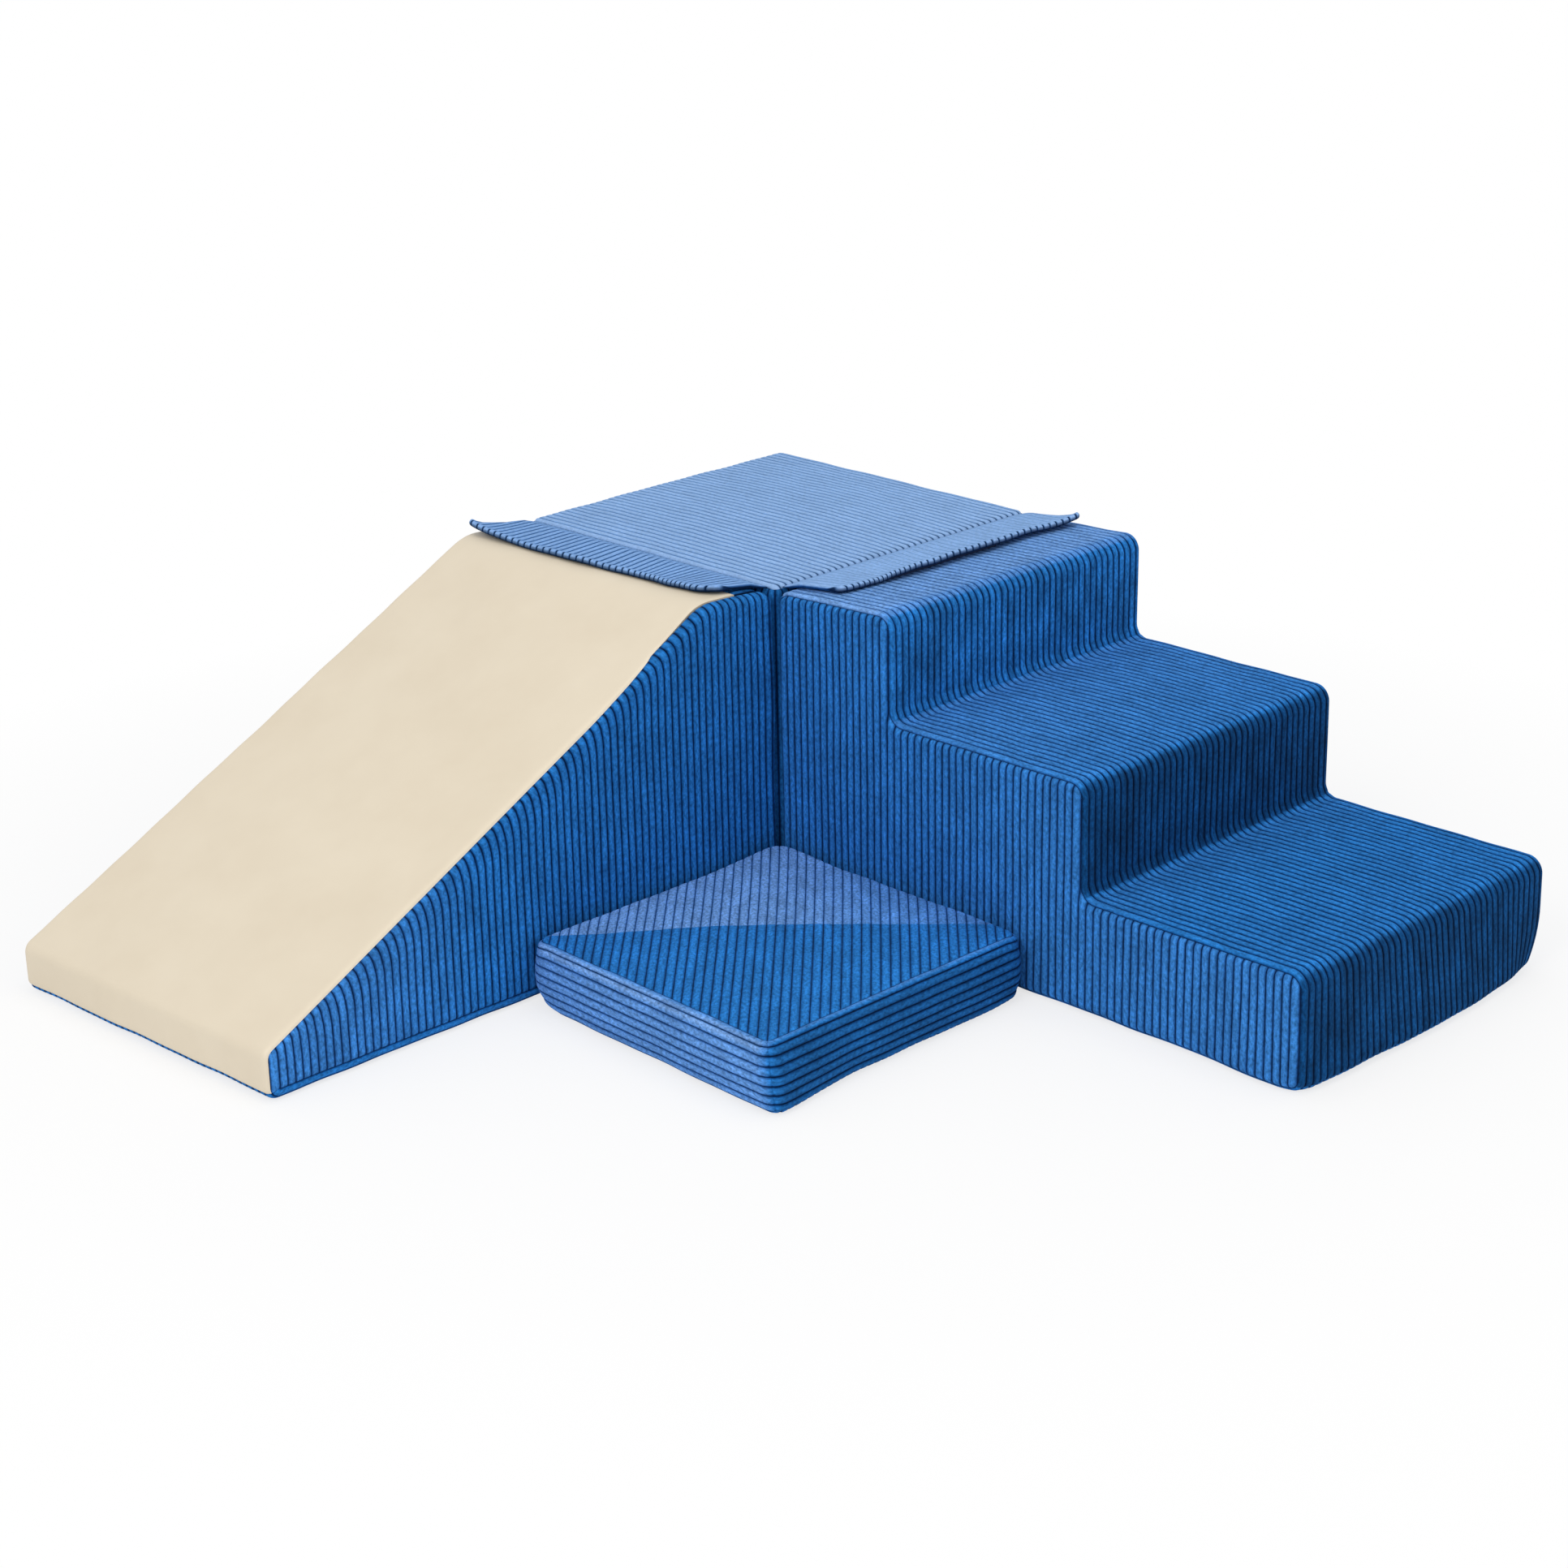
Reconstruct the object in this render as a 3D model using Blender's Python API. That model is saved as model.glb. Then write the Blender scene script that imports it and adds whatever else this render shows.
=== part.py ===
"""Corner climber of soft foam modules: a block with two cloth flaps, a slide, three steps and a mat.

All lengths are in metres and +Z is up. The modules stand on z = 0. The inner corner is the place where
the block, the slide, the steps and the mat meet; the whole set is centred on the world's origin.
"""

import math

import bmesh
import bpy
from mathutils import Matrix, Vector

# Corner block, square in plan
BLOCK_WIDTH = 0.450
BLOCK_HEIGHT = 0.396
BLOCK_CROWN = 0.005

# Slide
NEIGHBOUR_DROP = 0.003  # at the block the slide and the steps are this much lower, for the flaps
MODULE_GAP = 0.003
SLIDE_LENGTH = 0.760
SLIDE_FLAT = 0.103
SLIDE_LIP = 0.057
SLIDE_CREST_ROUND = 0.070
SLIDE_TOP_TILT = math.radians(3)
SHEET_START = 0.042

# Steps
TOP_TREAD = 0.180
STEPS_TOP_TILT = math.radians(2.5)
MIDDLE_TREAD = 0.290
BOTTOM_TREAD = 0.300
BOTTOM_RISE = 0.136
MIDDLE_RISE = 0.136
TREAD_CROWN = 0.003
INNER_CORNER_ROUND = 0.024

# Mat
MAT_WIDTH = 0.398
MAT_HEIGHT = 0.080
MAT_GAP = 0.007
MAT_CROWN = 0.004
MAT_BULGE = 0.0035

# Cover cloth with its lining, and how its panels meet at a seam
COVER = 0.005
SEAM_SINK_SHARE = 0.7
SEAM_GAP = 0.0004
FOAM_CLEAR = 0.0003
CORNER_EASE = 0.003
NOSING_EASE = 0.008
TOE_EASE = 0.004

# Flaps
FLAP_WIDTH = 0.090
FLAP_THICKNESS = 0.005
FLAP_ROOT = 0.0018
FLAP_NEAR_INSET = 0.015
FLAP_NEAR_SLANT = 0.018
FLAP_FAR_INSET = 0.025
FLAP_FAR_FLARE = 0.005
FLAP_TAPER = 0.012
FLAP_TAPER_RUN = 0.160
FLAP_RISE_RUN = 0.026
FLAP_CURL = 0.011
FLAP_CURL_RUN = 0.115
FLAP_NEAR_LIFT = 0.004
FLAP_NEAR_RUN = 0.040
FLAP_CORNER_ROUND = 0.010

# Hook and loop tape
TAPE_THICKNESS = 0.001
TAPE_WIDTH = 0.020
TAPE_CORNER_ROUND = 0.003
TAPE_EDGE_MARGIN = 0.011
TAPE_END_MARGIN = 0.008

# Zips, each in a shallow pocket of its panel
ZIP_HEIGHT = 0.026
ZIP_END_MARGIN = 0.040
ZIP_POCKET_HEIGHT = 0.012
ZIP_POCKET_DEPTH = 0.0033
ZIP_TAPE = 0.0008
ZIP_TEETH_HEIGHT = 0.0045
ZIP_TEETH_RISE = 0.0008
SLIDER_LENGTH = 0.010
SLIDER_ROOF = 0.0009
SLIDER_LEG = 0.0011
SLIDER_TAB_LENGTH = 0.012
SLIDER_TAB_WIDTH = 0.005
SLIDER_TAB_LIP = 0.0003

# Clearances and modelling values
FIT_GAP = 0.0003
CUT_OVERRUN = 0.006
MOST_SHADE_ANGLE = math.radians(40)
SEAM_ANGLE = math.radians(45)
RIM_ANGLES = (SEAM_ANGLE, math.radians(22.5), 0)
ARC_STEPS = 4
CREST_STEPS = 8
HALF_ROUND_STEPS = 4
EDGE_STATIONS = 4
CROWN_RING_SHARES = (1.0, 0.88, 0.7, 0.48, 0.22)
CROWN_STATION_SHARES = (0.16, 0.33, 0.5, 0.67, 0.84)

# Sizes that follow from the ones above
NEIGHBOUR_HEIGHT = BLOCK_HEIGHT - NEIGHBOUR_DROP
SEAM_SINK = COVER * SEAM_SINK_SHARE
EDGE_ROUND = SEAM_SINK / (1 - math.cos(SEAM_ANGLE))
CORNER_ROUND = EDGE_ROUND + CORNER_EASE
NOSING_ROUND = EDGE_ROUND + NOSING_EASE
TOE_ROUND = EDGE_ROUND + TOE_EASE
MITRE = SEAM_GAP / math.sqrt(2)
FOAM_INSET = COVER + FOAM_CLEAR
STEPS_LENGTH = TOP_TREAD + MIDDLE_TREAD + BOTTOM_TREAD
STEPS_MIDDLE_END = TOP_TREAD + MIDDLE_TREAD
MIDDLE_STEP_HEIGHT = BOTTOM_RISE + MIDDLE_RISE
FLAP_LENGTH = BLOCK_WIDTH - FLAP_NEAR_INSET - FLAP_FAR_INSET
FLAP_SEAT = EDGE_ROUND - (EDGE_ROUND + FLAP_ROOT + FIT_GAP) / math.sqrt(2)
TAPE_STACK = 2 * TAPE_THICKNESS + 3 * FIT_GAP
FLAP_RISE = FLAP_SEAT - NEIGHBOUR_DROP + TAPE_STACK + FLAP_THICKNESS / 2

# The inner corner's place, which centres the whole set
CORNER = Vector((
    (BLOCK_WIDTH - MODULE_GAP - STEPS_LENGTH) / 2,
    (MODULE_GAP + SLIDE_LENGTH - BLOCK_WIDTH) / 2,
    0,
))

X = Vector((1, 0, 0))
Y = Vector((0, 1, 0))
Z = Vector((0, 0, 1))


def clear_scene():
    for thing in list(bpy.data.objects):
        bpy.data.objects.remove(thing, do_unlink=True)


def material(name, colour, roughness, metallic=0):
    look = bpy.data.materials.new(name)
    look.use_nodes = True
    shader = look.node_tree.nodes["Principled BSDF"]
    shader.inputs["Base Color"].default_value = (*colour, 1)
    shader.inputs["Roughness"].default_value = roughness
    shader.inputs["Metallic"].default_value = metallic
    return look


def axes(origin, along, across, out):
    """A frame whose three axes are the given directions."""
    frame = Matrix((along, across, out)).transposed().to_4x4()
    frame.translation = origin
    return frame


def turned(direction, angle):
    return Matrix.Rotation(angle, 2) @ direction


class Outline:
    """A closed profile, counter-clockwise, kept as stations that each have an inward normal.

    A corner is (name, a, b, round, arc steps, stations on the edge that leaves it). A corner without a
    round is a plain station on a straight edge. The swell of a station is 1 midway along such an edge.
    """

    def __init__(self, corners):
        self.points = []
        self.inward = []
        self.swell = []
        self.at = {}
        for i, (name, a, b, radius, steps, spans) in enumerate(corners):
            here = Vector((a, b))
            before = Vector(corners[i - 1][1:3])
            after = Vector(corners[(i + 1) % len(corners)][1:3])
            arrive = (here - before).normalized()
            leave = (after - here).normalized()
            angle = math.atan2(arrive.cross(leave), arrive.dot(leave))
            side = math.copysign(radius, angle)
            start = here - arrive * radius * math.tan(abs(angle) / 2)
            normal = turned(arrive, math.pi / 2)
            centre = start + normal * side
            for step in range(steps + 1):
                inward = turned(normal, angle * step / max(steps, 1))
                self.add(centre - inward * side, inward, 0)
            self.at[name] = len(self.points) - 1 - steps // 2
            if spans:
                self.add_edge(self.points[-1], self.arc_start(corners, i + 1), turned(leave, math.pi / 2), spans)

    def add(self, point, inward, swell):
        self.points.append(point)
        self.inward.append(inward)
        self.swell.append(swell)

    def add_edge(self, start, end, inward, spans):
        for step in range(1, spans):
            share = step / spans
            self.add(start.lerp(end, share), inward, 4 * share * (1 - share))

    @staticmethod
    def arc_start(corners, index):
        """The point where the arc of a corner begins, coming from the corner before it."""
        name, a, b, radius, steps, spans = corners[index % len(corners)]
        here = Vector((a, b))
        arrive = (here - Vector(corners[index - 1][1:3])).normalized()
        leave = (Vector(corners[(index + 1) % len(corners)][1:3]) - here).normalized()
        angle = math.atan2(arrive.cross(leave), arrive.dot(leave))
        return here - arrive * radius * math.tan(abs(angle) / 2)

    def ring(self, inset, share=1):
        """The profile moved inward by the inset, then shrunk about its middle to the share."""
        moved = [point + inward * inset for point, inward in zip(self.points, self.inward)]
        middle = sum(moved, Vector((0, 0))) / len(moved)
        return [middle + (point - middle) * share for point in moved]

    def stations(self, first, last):
        """Station numbers from one named corner round to another, which may be the same one."""
        start = self.at[first]
        count = (self.at[last] - start) % len(self.points) or len(self.points)
        return [(start + step) % len(self.points) for step in range(count + 1)]


def box_outline(low_a, low_b, high_a, high_b, radius, names=("first", "second", "third", "fourth")):
    """A rounded rectangle, its corners named counter-clockwise from the lowest one."""
    places = ((low_a, low_b), (high_a, low_b), (high_a, high_b), (low_a, high_b))
    return Outline([(name, a, b, radius, ARC_STEPS, 0) for name, (a, b) in zip(names, places)])


def body(name, place):
    """The parent of a moving body, at its joint."""
    empty = bpy.data.objects.new(name, None)
    bpy.context.collection.objects.link(empty)
    empty.location = place
    return empty


def loft(name, loops, look, parent=None):
    """A solid through equal closed loops of points, capped at both ends."""
    origin = parent.location if parent else Vector((0, 0, 0))
    work = bmesh.new()
    rings = [[work.verts.new(point - origin) for point in loop] for loop in loops]
    for ring, following in zip(rings, rings[1:]):
        for i in range(len(ring)):
            work.faces.new((ring[i - 1], ring[i], following[i], following[i - 1]))
    work.faces.new(reversed(rings[0]))
    work.faces.new(rings[-1])
    bmesh.ops.recalc_face_normals(work, faces=work.faces)
    mesh = bpy.data.meshes.new(name)
    work.to_mesh(mesh)
    work.free()
    mesh.shade_smooth()
    mesh.set_sharp_from_angle(angle=MOST_SHADE_ANGLE)
    mesh.materials.append(look)
    piece = bpy.data.objects.new(name, mesh)
    bpy.context.collection.objects.link(piece)
    piece.parent = parent
    return piece


def placed(frame, points, level):
    return [frame @ Vector((point.x, point.y, level)) for point in points]


def prism(name, ring, frame, low, high, look, parent=None):
    """A ring of points extruded between two levels."""
    return loft(name, [placed(frame, ring, low), placed(frame, ring, high)], look, parent)


def rim(angle):
    """How far in and how deep the rounded edge of a module lies at an angle from its face."""
    return EDGE_ROUND * (1 - math.sin(angle)), EDGE_ROUND * (1 - math.cos(angle))


def domed(outline, frame, level, inset, crown, side):
    """Loops of a crowned face, from its rim to its middle; side is 1 where the face looks up its axis."""
    loops = []
    for share in CROWN_RING_SHARES:
        height = level + side * crown * (1 - share * share)
        loops.append(placed(frame, outline.ring(inset, share), height))
    return loops


def face_panel(name, outline, frame, level, side, look, crown=0, parent=None):
    """A cover panel as large as the whole profile, mitred to the strips that surround it."""
    if crown:
        inner = domed(outline, frame, level - side * COVER, COVER + MITRE, crown, side)[::-1]
        outer = domed(outline, frame, level, EDGE_ROUND, crown, side)[1:]
    else:
        inner = [placed(frame, outline.ring(COVER + MITRE), level - side * COVER)]
        outer = []
    edge = []
    for angle in RIM_ANGLES:
        inset, depth = rim(angle)
        if angle == SEAM_ANGLE:
            inset += MITRE
        edge.append(placed(frame, outline.ring(inset), level - side * depth))
    return loft(name, inner + edge + outer, look, parent)


def across_profile(width, crowned):
    """Places across a strip: how far from its low side, how deep, and how much of the crown it takes."""
    low = []
    for angle in RIM_ANGLES:
        inset, depth = rim(angle)
        if angle == SEAM_ANGLE:
            inset += MITRE
        low.append((inset, depth, 0))
    high = [(width - inset, depth, 0) for inset, depth, _ in reversed(low)]
    middle = []
    if crowned:
        for share in CROWN_STATION_SHARES:
            middle.append((width * share, 0, 4 * share * (1 - share)))
    return low + middle + high


def strip(name, outline, first, last, frame, width, look, crown=0, bulge=0, parent=None):
    """A cover panel that follows the profile from one named seam to another, between two face panels.

    The crown swells it midway along the straight edges, the bulge all along.
    """
    places = across_profile(width, crown or bulge)
    inner = (width - COVER - MITRE, COVER + MITRE)
    numbers = outline.stations(first, last)
    loops = []
    for order, number in enumerate(numbers):
        point = outline.points[number]
        inward = outline.inward[number]
        if order in (0, len(numbers) - 1):
            into = turned(inward, -math.pi / 2) if order == 0 else turned(inward, math.pi / 2)
            point = point + into * SEAM_GAP / 2
        loop = []
        for across, depth, weight in places:
            swell = weight * (crown * outline.swell[number] + bulge)
            spot = point + inward * (depth - swell)
            loop.append(frame @ Vector((spot.x, spot.y, across)))
        for across in inner:
            spot = point + inward * COVER
            loop.append(frame @ Vector((spot.x, spot.y, across)))
        loops.append(loop)
    return loft(name, loops, look, parent)


def cut(piece, ring, frame, low, high):
    """Take an extruded ring of points out of a piece."""
    cutter = prism(piece.name + "_cutter", ring, frame, low, high, piece.data.materials[0])
    cutter.hide_render = True
    cutter.display_type = "WIRE"
    boolean = piece.modifiers.new("pocket", "BOOLEAN")
    boolean.operation = "DIFFERENCE"
    boolean.solver = "EXACT"
    boolean.object = cutter


def zip_closure(name, panel, frame, length, parent=None):
    """A zip in a pocket of its panel: its tape with the closed teeth, and its slider.

    The frame starts at the pocket's low end on the panel's face, along the zip, up, and out.
    """
    half = ZIP_POCKET_HEIGHT / 2
    pocket = box_outline(0, -half, length, half, half / 2)
    cut(panel, pocket.ring(0), frame, -ZIP_POCKET_DEPTH, CUT_OVERRUN)
    floor = FIT_GAP - ZIP_POCKET_DEPTH
    tape_half = half - FIT_GAP
    teeth_half = ZIP_TEETH_HEIGHT / 2
    tape_top = floor + ZIP_TAPE
    teeth_top = tape_top + ZIP_TEETH_RISE
    section = (
        (-tape_half, floor), (tape_half, floor), (tape_half, tape_top), (teeth_half, tape_top),
        (teeth_half, teeth_top), (-teeth_half, teeth_top), (-teeth_half, tape_top), (-tape_half, tape_top),
    )
    ends = (half, length - half)
    loft(name + "_zip_chain", [[frame @ Vector((a, b, c)) for b, c in section] for a in ends], looks["zip"], parent)
    slider_home = frame @ Vector((half + FIT_GAP, 0, 0))
    slider_body = body(name + "_zip_slider_body", slider_home)
    roof_low = teeth_top + FIT_GAP
    roof_high = roof_low + SLIDER_ROOF
    leg_inside = teeth_half + FIT_GAP
    channel = (
        (0, leg_inside, SLIDER_LEG, tape_top + FIT_GAP),
        (SLIDER_LENGTH, leg_inside, SLIDER_LEG, tape_top + FIT_GAP),
        (SLIDER_LENGTH, SLIDER_TAB_WIDTH / 2 - SLIDER_LEG, SLIDER_LEG, roof_low - SLIDER_TAB_LIP),
        (SLIDER_LENGTH + SLIDER_TAB_LENGTH, SLIDER_TAB_WIDTH / 2 - SLIDER_LEG, SLIDER_LEG,
         roof_low - SLIDER_TAB_LIP),
    )
    loops = []
    for a, inside, leg, foot in channel:
        outside = inside + leg
        shape = (
            (-outside, foot), (-outside, roof_high), (outside, roof_high), (outside, foot),
            (inside, foot), (inside, roof_low), (-inside, roof_low), (-inside, foot),
        )
        loops.append([slider_home + frame.to_3x3() @ Vector((a, b, c)) for b, c in shape])
    loft(name + "_zip_slider", loops, looks["metal"], slider_body)


def smooth(share):
    share = min(max(share, 0), 1)
    return share * share * (3 - 2 * share)


def flap_edge(s):
    """How wide the flap is at a place along it, tapered at its near end, with rounded corners."""
    width = FLAP_WIDTH - FLAP_TAPER * max(0, 1 - s / FLAP_TAPER_RUN) ** 2
    from_end = min(s, FLAP_LENGTH - s)
    if from_end >= FLAP_CORNER_ROUND:
        return width
    short = FLAP_CORNER_ROUND - from_end
    return width - FLAP_CORNER_ROUND + math.sqrt(FLAP_CORNER_ROUND ** 2 - short ** 2)


def flap_lift(s, v):
    """How much the flap rises off its neighbour: a curled far corner and a loose near one."""
    far = max(0, (s - FLAP_LENGTH + FLAP_CURL_RUN) / FLAP_CURL_RUN)
    near = max(0, (FLAP_NEAR_RUN - s) / FLAP_NEAR_RUN)
    out = v / FLAP_WIDTH
    return (FLAP_CURL * far * far + FLAP_NEAR_LIFT * near * near) * out * out


def flap(name, frame, parent):
    """A double cloth flap with a rolled root in the seam; the frame runs along the seam, outward, and up."""
    corner_shares = (0, 0.12, 0.4, 1)
    run_shares = (0.12, 0.3, 0.5, 0.68, 0.78, 0.88, 0.95)
    v_shares = (0.08, 0.18, 0.34, 0.6, 0.82, 1)
    ends = [FLAP_CORNER_ROUND * share for share in corner_shares]
    inside = [FLAP_LENGTH * share for share in run_shares]
    places = ends + inside + [FLAP_LENGTH - s for s in reversed(ends)]
    edge_half = FLAP_THICKNESS / 2
    loops = []
    for s in places:
        reach = flap_edge(s) - edge_half
        top = []
        under = []
        for share in (0, *v_shares):
            v = reach * share
            rise = smooth(v / FLAP_RISE_RUN)
            half = FLAP_ROOT + (edge_half - FLAP_ROOT) * rise
            level = FLAP_RISE * rise + flap_lift(s, v)
            top.append((v, level + half))
            under.append((v, level - half))
        outer = half_round(reach, top[-1][1] - edge_half, edge_half, math.pi / 2)
        root = half_round(0, 0, FLAP_ROOT, -math.pi / 2)
        loop = top + outer + under[::-1] + root
        slant = FLAP_NEAR_SLANT + (FLAP_FAR_FLARE - FLAP_NEAR_SLANT) * s / FLAP_LENGTH
        loops.append([
            frame @ Vector((FLAP_NEAR_INSET + s + slant * v / FLAP_WIDTH, v, h)) for v, h in loop
        ])
    return loft(name, loops, looks["corduroy"], parent)


def half_round(v, h, radius, start):
    """Points of a half circle, clockwise from its starting angle, without its two end points."""
    points = []
    for step in range(1, HALF_ROUND_STEPS):
        angle = start - math.pi * step / HALF_ROUND_STEPS
        points.append((v + radius * math.cos(angle), h + radius * math.sin(angle)))
    return points


def tape_outline():
    """The outline that the hook and the loop tape share, in the flap's own frame."""
    low_v = FLAP_WIDTH - TAPE_EDGE_MARGIN - TAPE_WIDTH
    low_s = FLAP_NEAR_INSET + FLAP_NEAR_SLANT + FLAP_NEAR_RUN + TAPE_END_MARGIN
    high_s = FLAP_NEAR_INSET + FLAP_LENGTH - FLAP_CURL_RUN - TAPE_END_MARGIN
    return box_outline(low_s, low_v, high_s, low_v + TAPE_WIDTH, TAPE_CORNER_ROUND)


def flap_with_tapes(name, seam, along, out, tilt, neighbour, neighbour_body):
    """A flap with its hook tape, and the loop tape on the module that it lies over, tilted like its top."""
    level_out = out * math.cos(tilt) + Z * math.sin(tilt)
    frame = axes(seam, along, level_out, Z * math.cos(tilt) - out * math.sin(tilt))
    flap_body = body(name + "_body", seam)
    flap(name, frame, flap_body)
    ring = tape_outline().ring(0)
    under = FLAP_RISE - FLAP_THICKNESS / 2 - FIT_GAP
    hook_low = under - TAPE_THICKNESS
    prism(name + "_hook_strip", ring, frame, hook_low, under, looks["tape"], flap_body)
    loop_high = hook_low - FIT_GAP
    prism(neighbour + "_loop_strip", ring, frame, loop_high - TAPE_THICKNESS, loop_high,
          looks["tape"], neighbour_body)


def top_height(a, tilt):
    """How high the top of a block's neighbour lies at a place along it; it rises away from the flap's seam."""
    return NEIGHBOUR_HEIGHT + math.tan(tilt) * (a + MODULE_GAP + FLAP_SEAT)


def build_block():
    names = ("slide_left", "inner", "steps_back", "back_left")
    plan = box_outline(-BLOCK_WIDTH, 0, 0, BLOCK_WIDTH, CORNER_ROUND, names)
    frame = axes(CORNER, X, Y, Z)
    cloth = looks["corduroy"]
    top = BLOCK_HEIGHT - FOAM_INSET
    core = [placed(frame, plan.ring(FOAM_INSET), FOAM_INSET)]
    core += domed(plan, frame, top, FOAM_INSET, BLOCK_CROWN, 1)
    loft("block_foam_core", core, looks["foam"])
    face_panel("block_top_panel", plan, frame, BLOCK_HEIGHT, 1, cloth, BLOCK_CROWN)
    face_panel("block_base_panel", plan, frame, 0, -1, cloth)
    strip("block_side_slide", plan, "slide_left", "inner", frame, BLOCK_HEIGHT, cloth)
    strip("block_side_steps", plan, "inner", "steps_back", frame, BLOCK_HEIGHT, cloth)
    back = strip("block_side_back", plan, "steps_back", "back_left", frame, BLOCK_HEIGHT, cloth)
    strip("block_side_left", plan, "back_left", "slide_left", frame, BLOCK_HEIGHT, cloth)
    zip_start = CORNER + Vector((-ZIP_END_MARGIN, BLOCK_WIDTH, ZIP_HEIGHT))
    zip_closure("block", back, axes(zip_start, -X, Z, Y), BLOCK_WIDTH - 2 * ZIP_END_MARGIN)


def build_slide():
    """The profile runs from the back at the block out to the lip; the strips cross the slide's width."""
    home = CORNER + Vector((-BLOCK_WIDTH, -MODULE_GAP, 0))
    frame = axes(home, -Y, Z, X)
    module = body("slide_module", home)
    side = Outline([
        ("base_back", 0, 0, CORNER_ROUND, ARC_STEPS, 0),
        ("base_toe", SLIDE_LENGTH, 0, CORNER_ROUND, ARC_STEPS, 0),
        ("lip", SLIDE_LENGTH, SLIDE_LIP, TOE_ROUND, ARC_STEPS, EDGE_STATIONS),
        ("crest", SLIDE_FLAT, top_height(SLIDE_FLAT, SLIDE_TOP_TILT), SLIDE_CREST_ROUND, CREST_STEPS, 0),
        ("sheet_start", SHEET_START, top_height(SHEET_START, SLIDE_TOP_TILT), 0, 0, 0),
        ("top_back", 0, top_height(0, SLIDE_TOP_TILT), CORNER_ROUND, ARC_STEPS, 0),
    ])
    cloth = looks["corduroy"]
    prism("slide_foam_core", side.ring(FOAM_INSET), frame, FOAM_INSET, BLOCK_WIDTH - FOAM_INSET,
          looks["foam"], module)
    face_panel("slide_side_outer", side, frame, 0, -1, cloth, parent=module)
    face_panel("slide_side_inner", side, frame, BLOCK_WIDTH, 1, cloth, parent=module)
    strip("slide_base_panel", side, "base_back", "base_toe", frame, BLOCK_WIDTH, cloth, parent=module)
    strip("slide_surface", side, "base_toe", "sheet_start", frame, BLOCK_WIDTH, looks["sheet"], parent=module)
    back = strip("slide_back_panel", side, "sheet_start", "base_back", frame, BLOCK_WIDTH, cloth, parent=module)
    zip_start = home + Vector((ZIP_END_MARGIN, 0, ZIP_HEIGHT))
    zip_closure("slide", back, axes(zip_start, X, Z, Y), BLOCK_WIDTH - 2 * ZIP_END_MARGIN, module)
    return module


def foam_slab(name, length, low, back_high, front_high, frame, parent):
    """One slab of the steps' foam pile, its upper front edge rounded to lie under the cover."""
    back = FOAM_INSET
    front = length - FOAM_INSET
    slab = Outline([
        ("base_back", back, low, CORNER_ROUND - FOAM_INSET, ARC_STEPS, 0),
        ("base_front", front, low, CORNER_ROUND - FOAM_INSET, ARC_STEPS, 0),
        ("nose", front, front_high, NOSING_ROUND - FOAM_INSET, ARC_STEPS, 0),
        ("top_back", back, back_high, CORNER_ROUND - FOAM_INSET, ARC_STEPS, 0),
    ])
    prism(name, slab.ring(0), frame, FOAM_INSET, BLOCK_WIDTH - FOAM_INSET, looks["foam"], parent)


def build_steps():
    """The profile runs from the back at the block out to the lowest step."""
    home = CORNER + Vector((MODULE_GAP, 0, 0))
    frame = axes(home, X, Z, Y)
    module = body("steps_module", home)
    side = Outline([
        ("base_back", 0, 0, CORNER_ROUND, ARC_STEPS, 0),
        ("base_end", STEPS_LENGTH, 0, CORNER_ROUND, ARC_STEPS, 0),
        ("nose_bottom", STEPS_LENGTH, BOTTOM_RISE, NOSING_ROUND, ARC_STEPS, EDGE_STATIONS),
        ("corner_bottom", STEPS_MIDDLE_END, BOTTOM_RISE, INNER_CORNER_ROUND, ARC_STEPS, 0),
        ("nose_middle", STEPS_MIDDLE_END, MIDDLE_STEP_HEIGHT, NOSING_ROUND, ARC_STEPS, EDGE_STATIONS),
        ("corner_middle", TOP_TREAD, MIDDLE_STEP_HEIGHT, INNER_CORNER_ROUND, ARC_STEPS, 0),
        ("nose_top", TOP_TREAD, top_height(TOP_TREAD, STEPS_TOP_TILT), NOSING_ROUND, ARC_STEPS, 0),
        ("top_back", 0, top_height(0, STEPS_TOP_TILT), CORNER_ROUND, ARC_STEPS, 0),
    ])
    cloth = looks["corduroy"]
    bottom_high = BOTTOM_RISE - FOAM_INSET
    middle_high = MIDDLE_STEP_HEIGHT - FOAM_INSET
    top_back_high = top_height(FOAM_INSET, STEPS_TOP_TILT) - FOAM_INSET
    top_front_high = top_height(TOP_TREAD - FOAM_INSET, STEPS_TOP_TILT) - FOAM_INSET
    slabs = (
        ("steps_foam_bottom", STEPS_LENGTH, FOAM_INSET, bottom_high, bottom_high),
        ("steps_foam_middle", STEPS_MIDDLE_END, bottom_high + FIT_GAP, middle_high, middle_high),
        ("steps_foam_top", TOP_TREAD, middle_high + FIT_GAP, top_back_high, top_front_high),
    )
    for name, length, low, back_high, front_high in slabs:
        foam_slab(name, length, low, back_high, front_high, frame, module)
    face_panel("steps_side_inner", side, frame, 0, -1, cloth, parent=module)
    face_panel("steps_side_outer", side, frame, BLOCK_WIDTH, 1, cloth, parent=module)
    strip("steps_base_panel", side, "base_back", "base_end", frame, BLOCK_WIDTH, cloth, parent=module)
    strip("steps_tread_bottom", side, "base_end", "corner_bottom", frame, BLOCK_WIDTH, cloth,
          TREAD_CROWN, parent=module)
    strip("steps_tread_middle", side, "corner_bottom", "corner_middle", frame, BLOCK_WIDTH, cloth,
          TREAD_CROWN, parent=module)
    strip("steps_tread_top", side, "corner_middle", "top_back", frame, BLOCK_WIDTH, cloth, parent=module)
    back = strip("steps_back_panel", side, "top_back", "base_back", frame, BLOCK_WIDTH, cloth, parent=module)
    zip_start = home + Vector((0, ZIP_END_MARGIN, ZIP_HEIGHT))
    zip_closure("steps", back, axes(zip_start, Y, Z, -X), BLOCK_WIDTH - 2 * ZIP_END_MARGIN, module)
    return module


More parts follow.
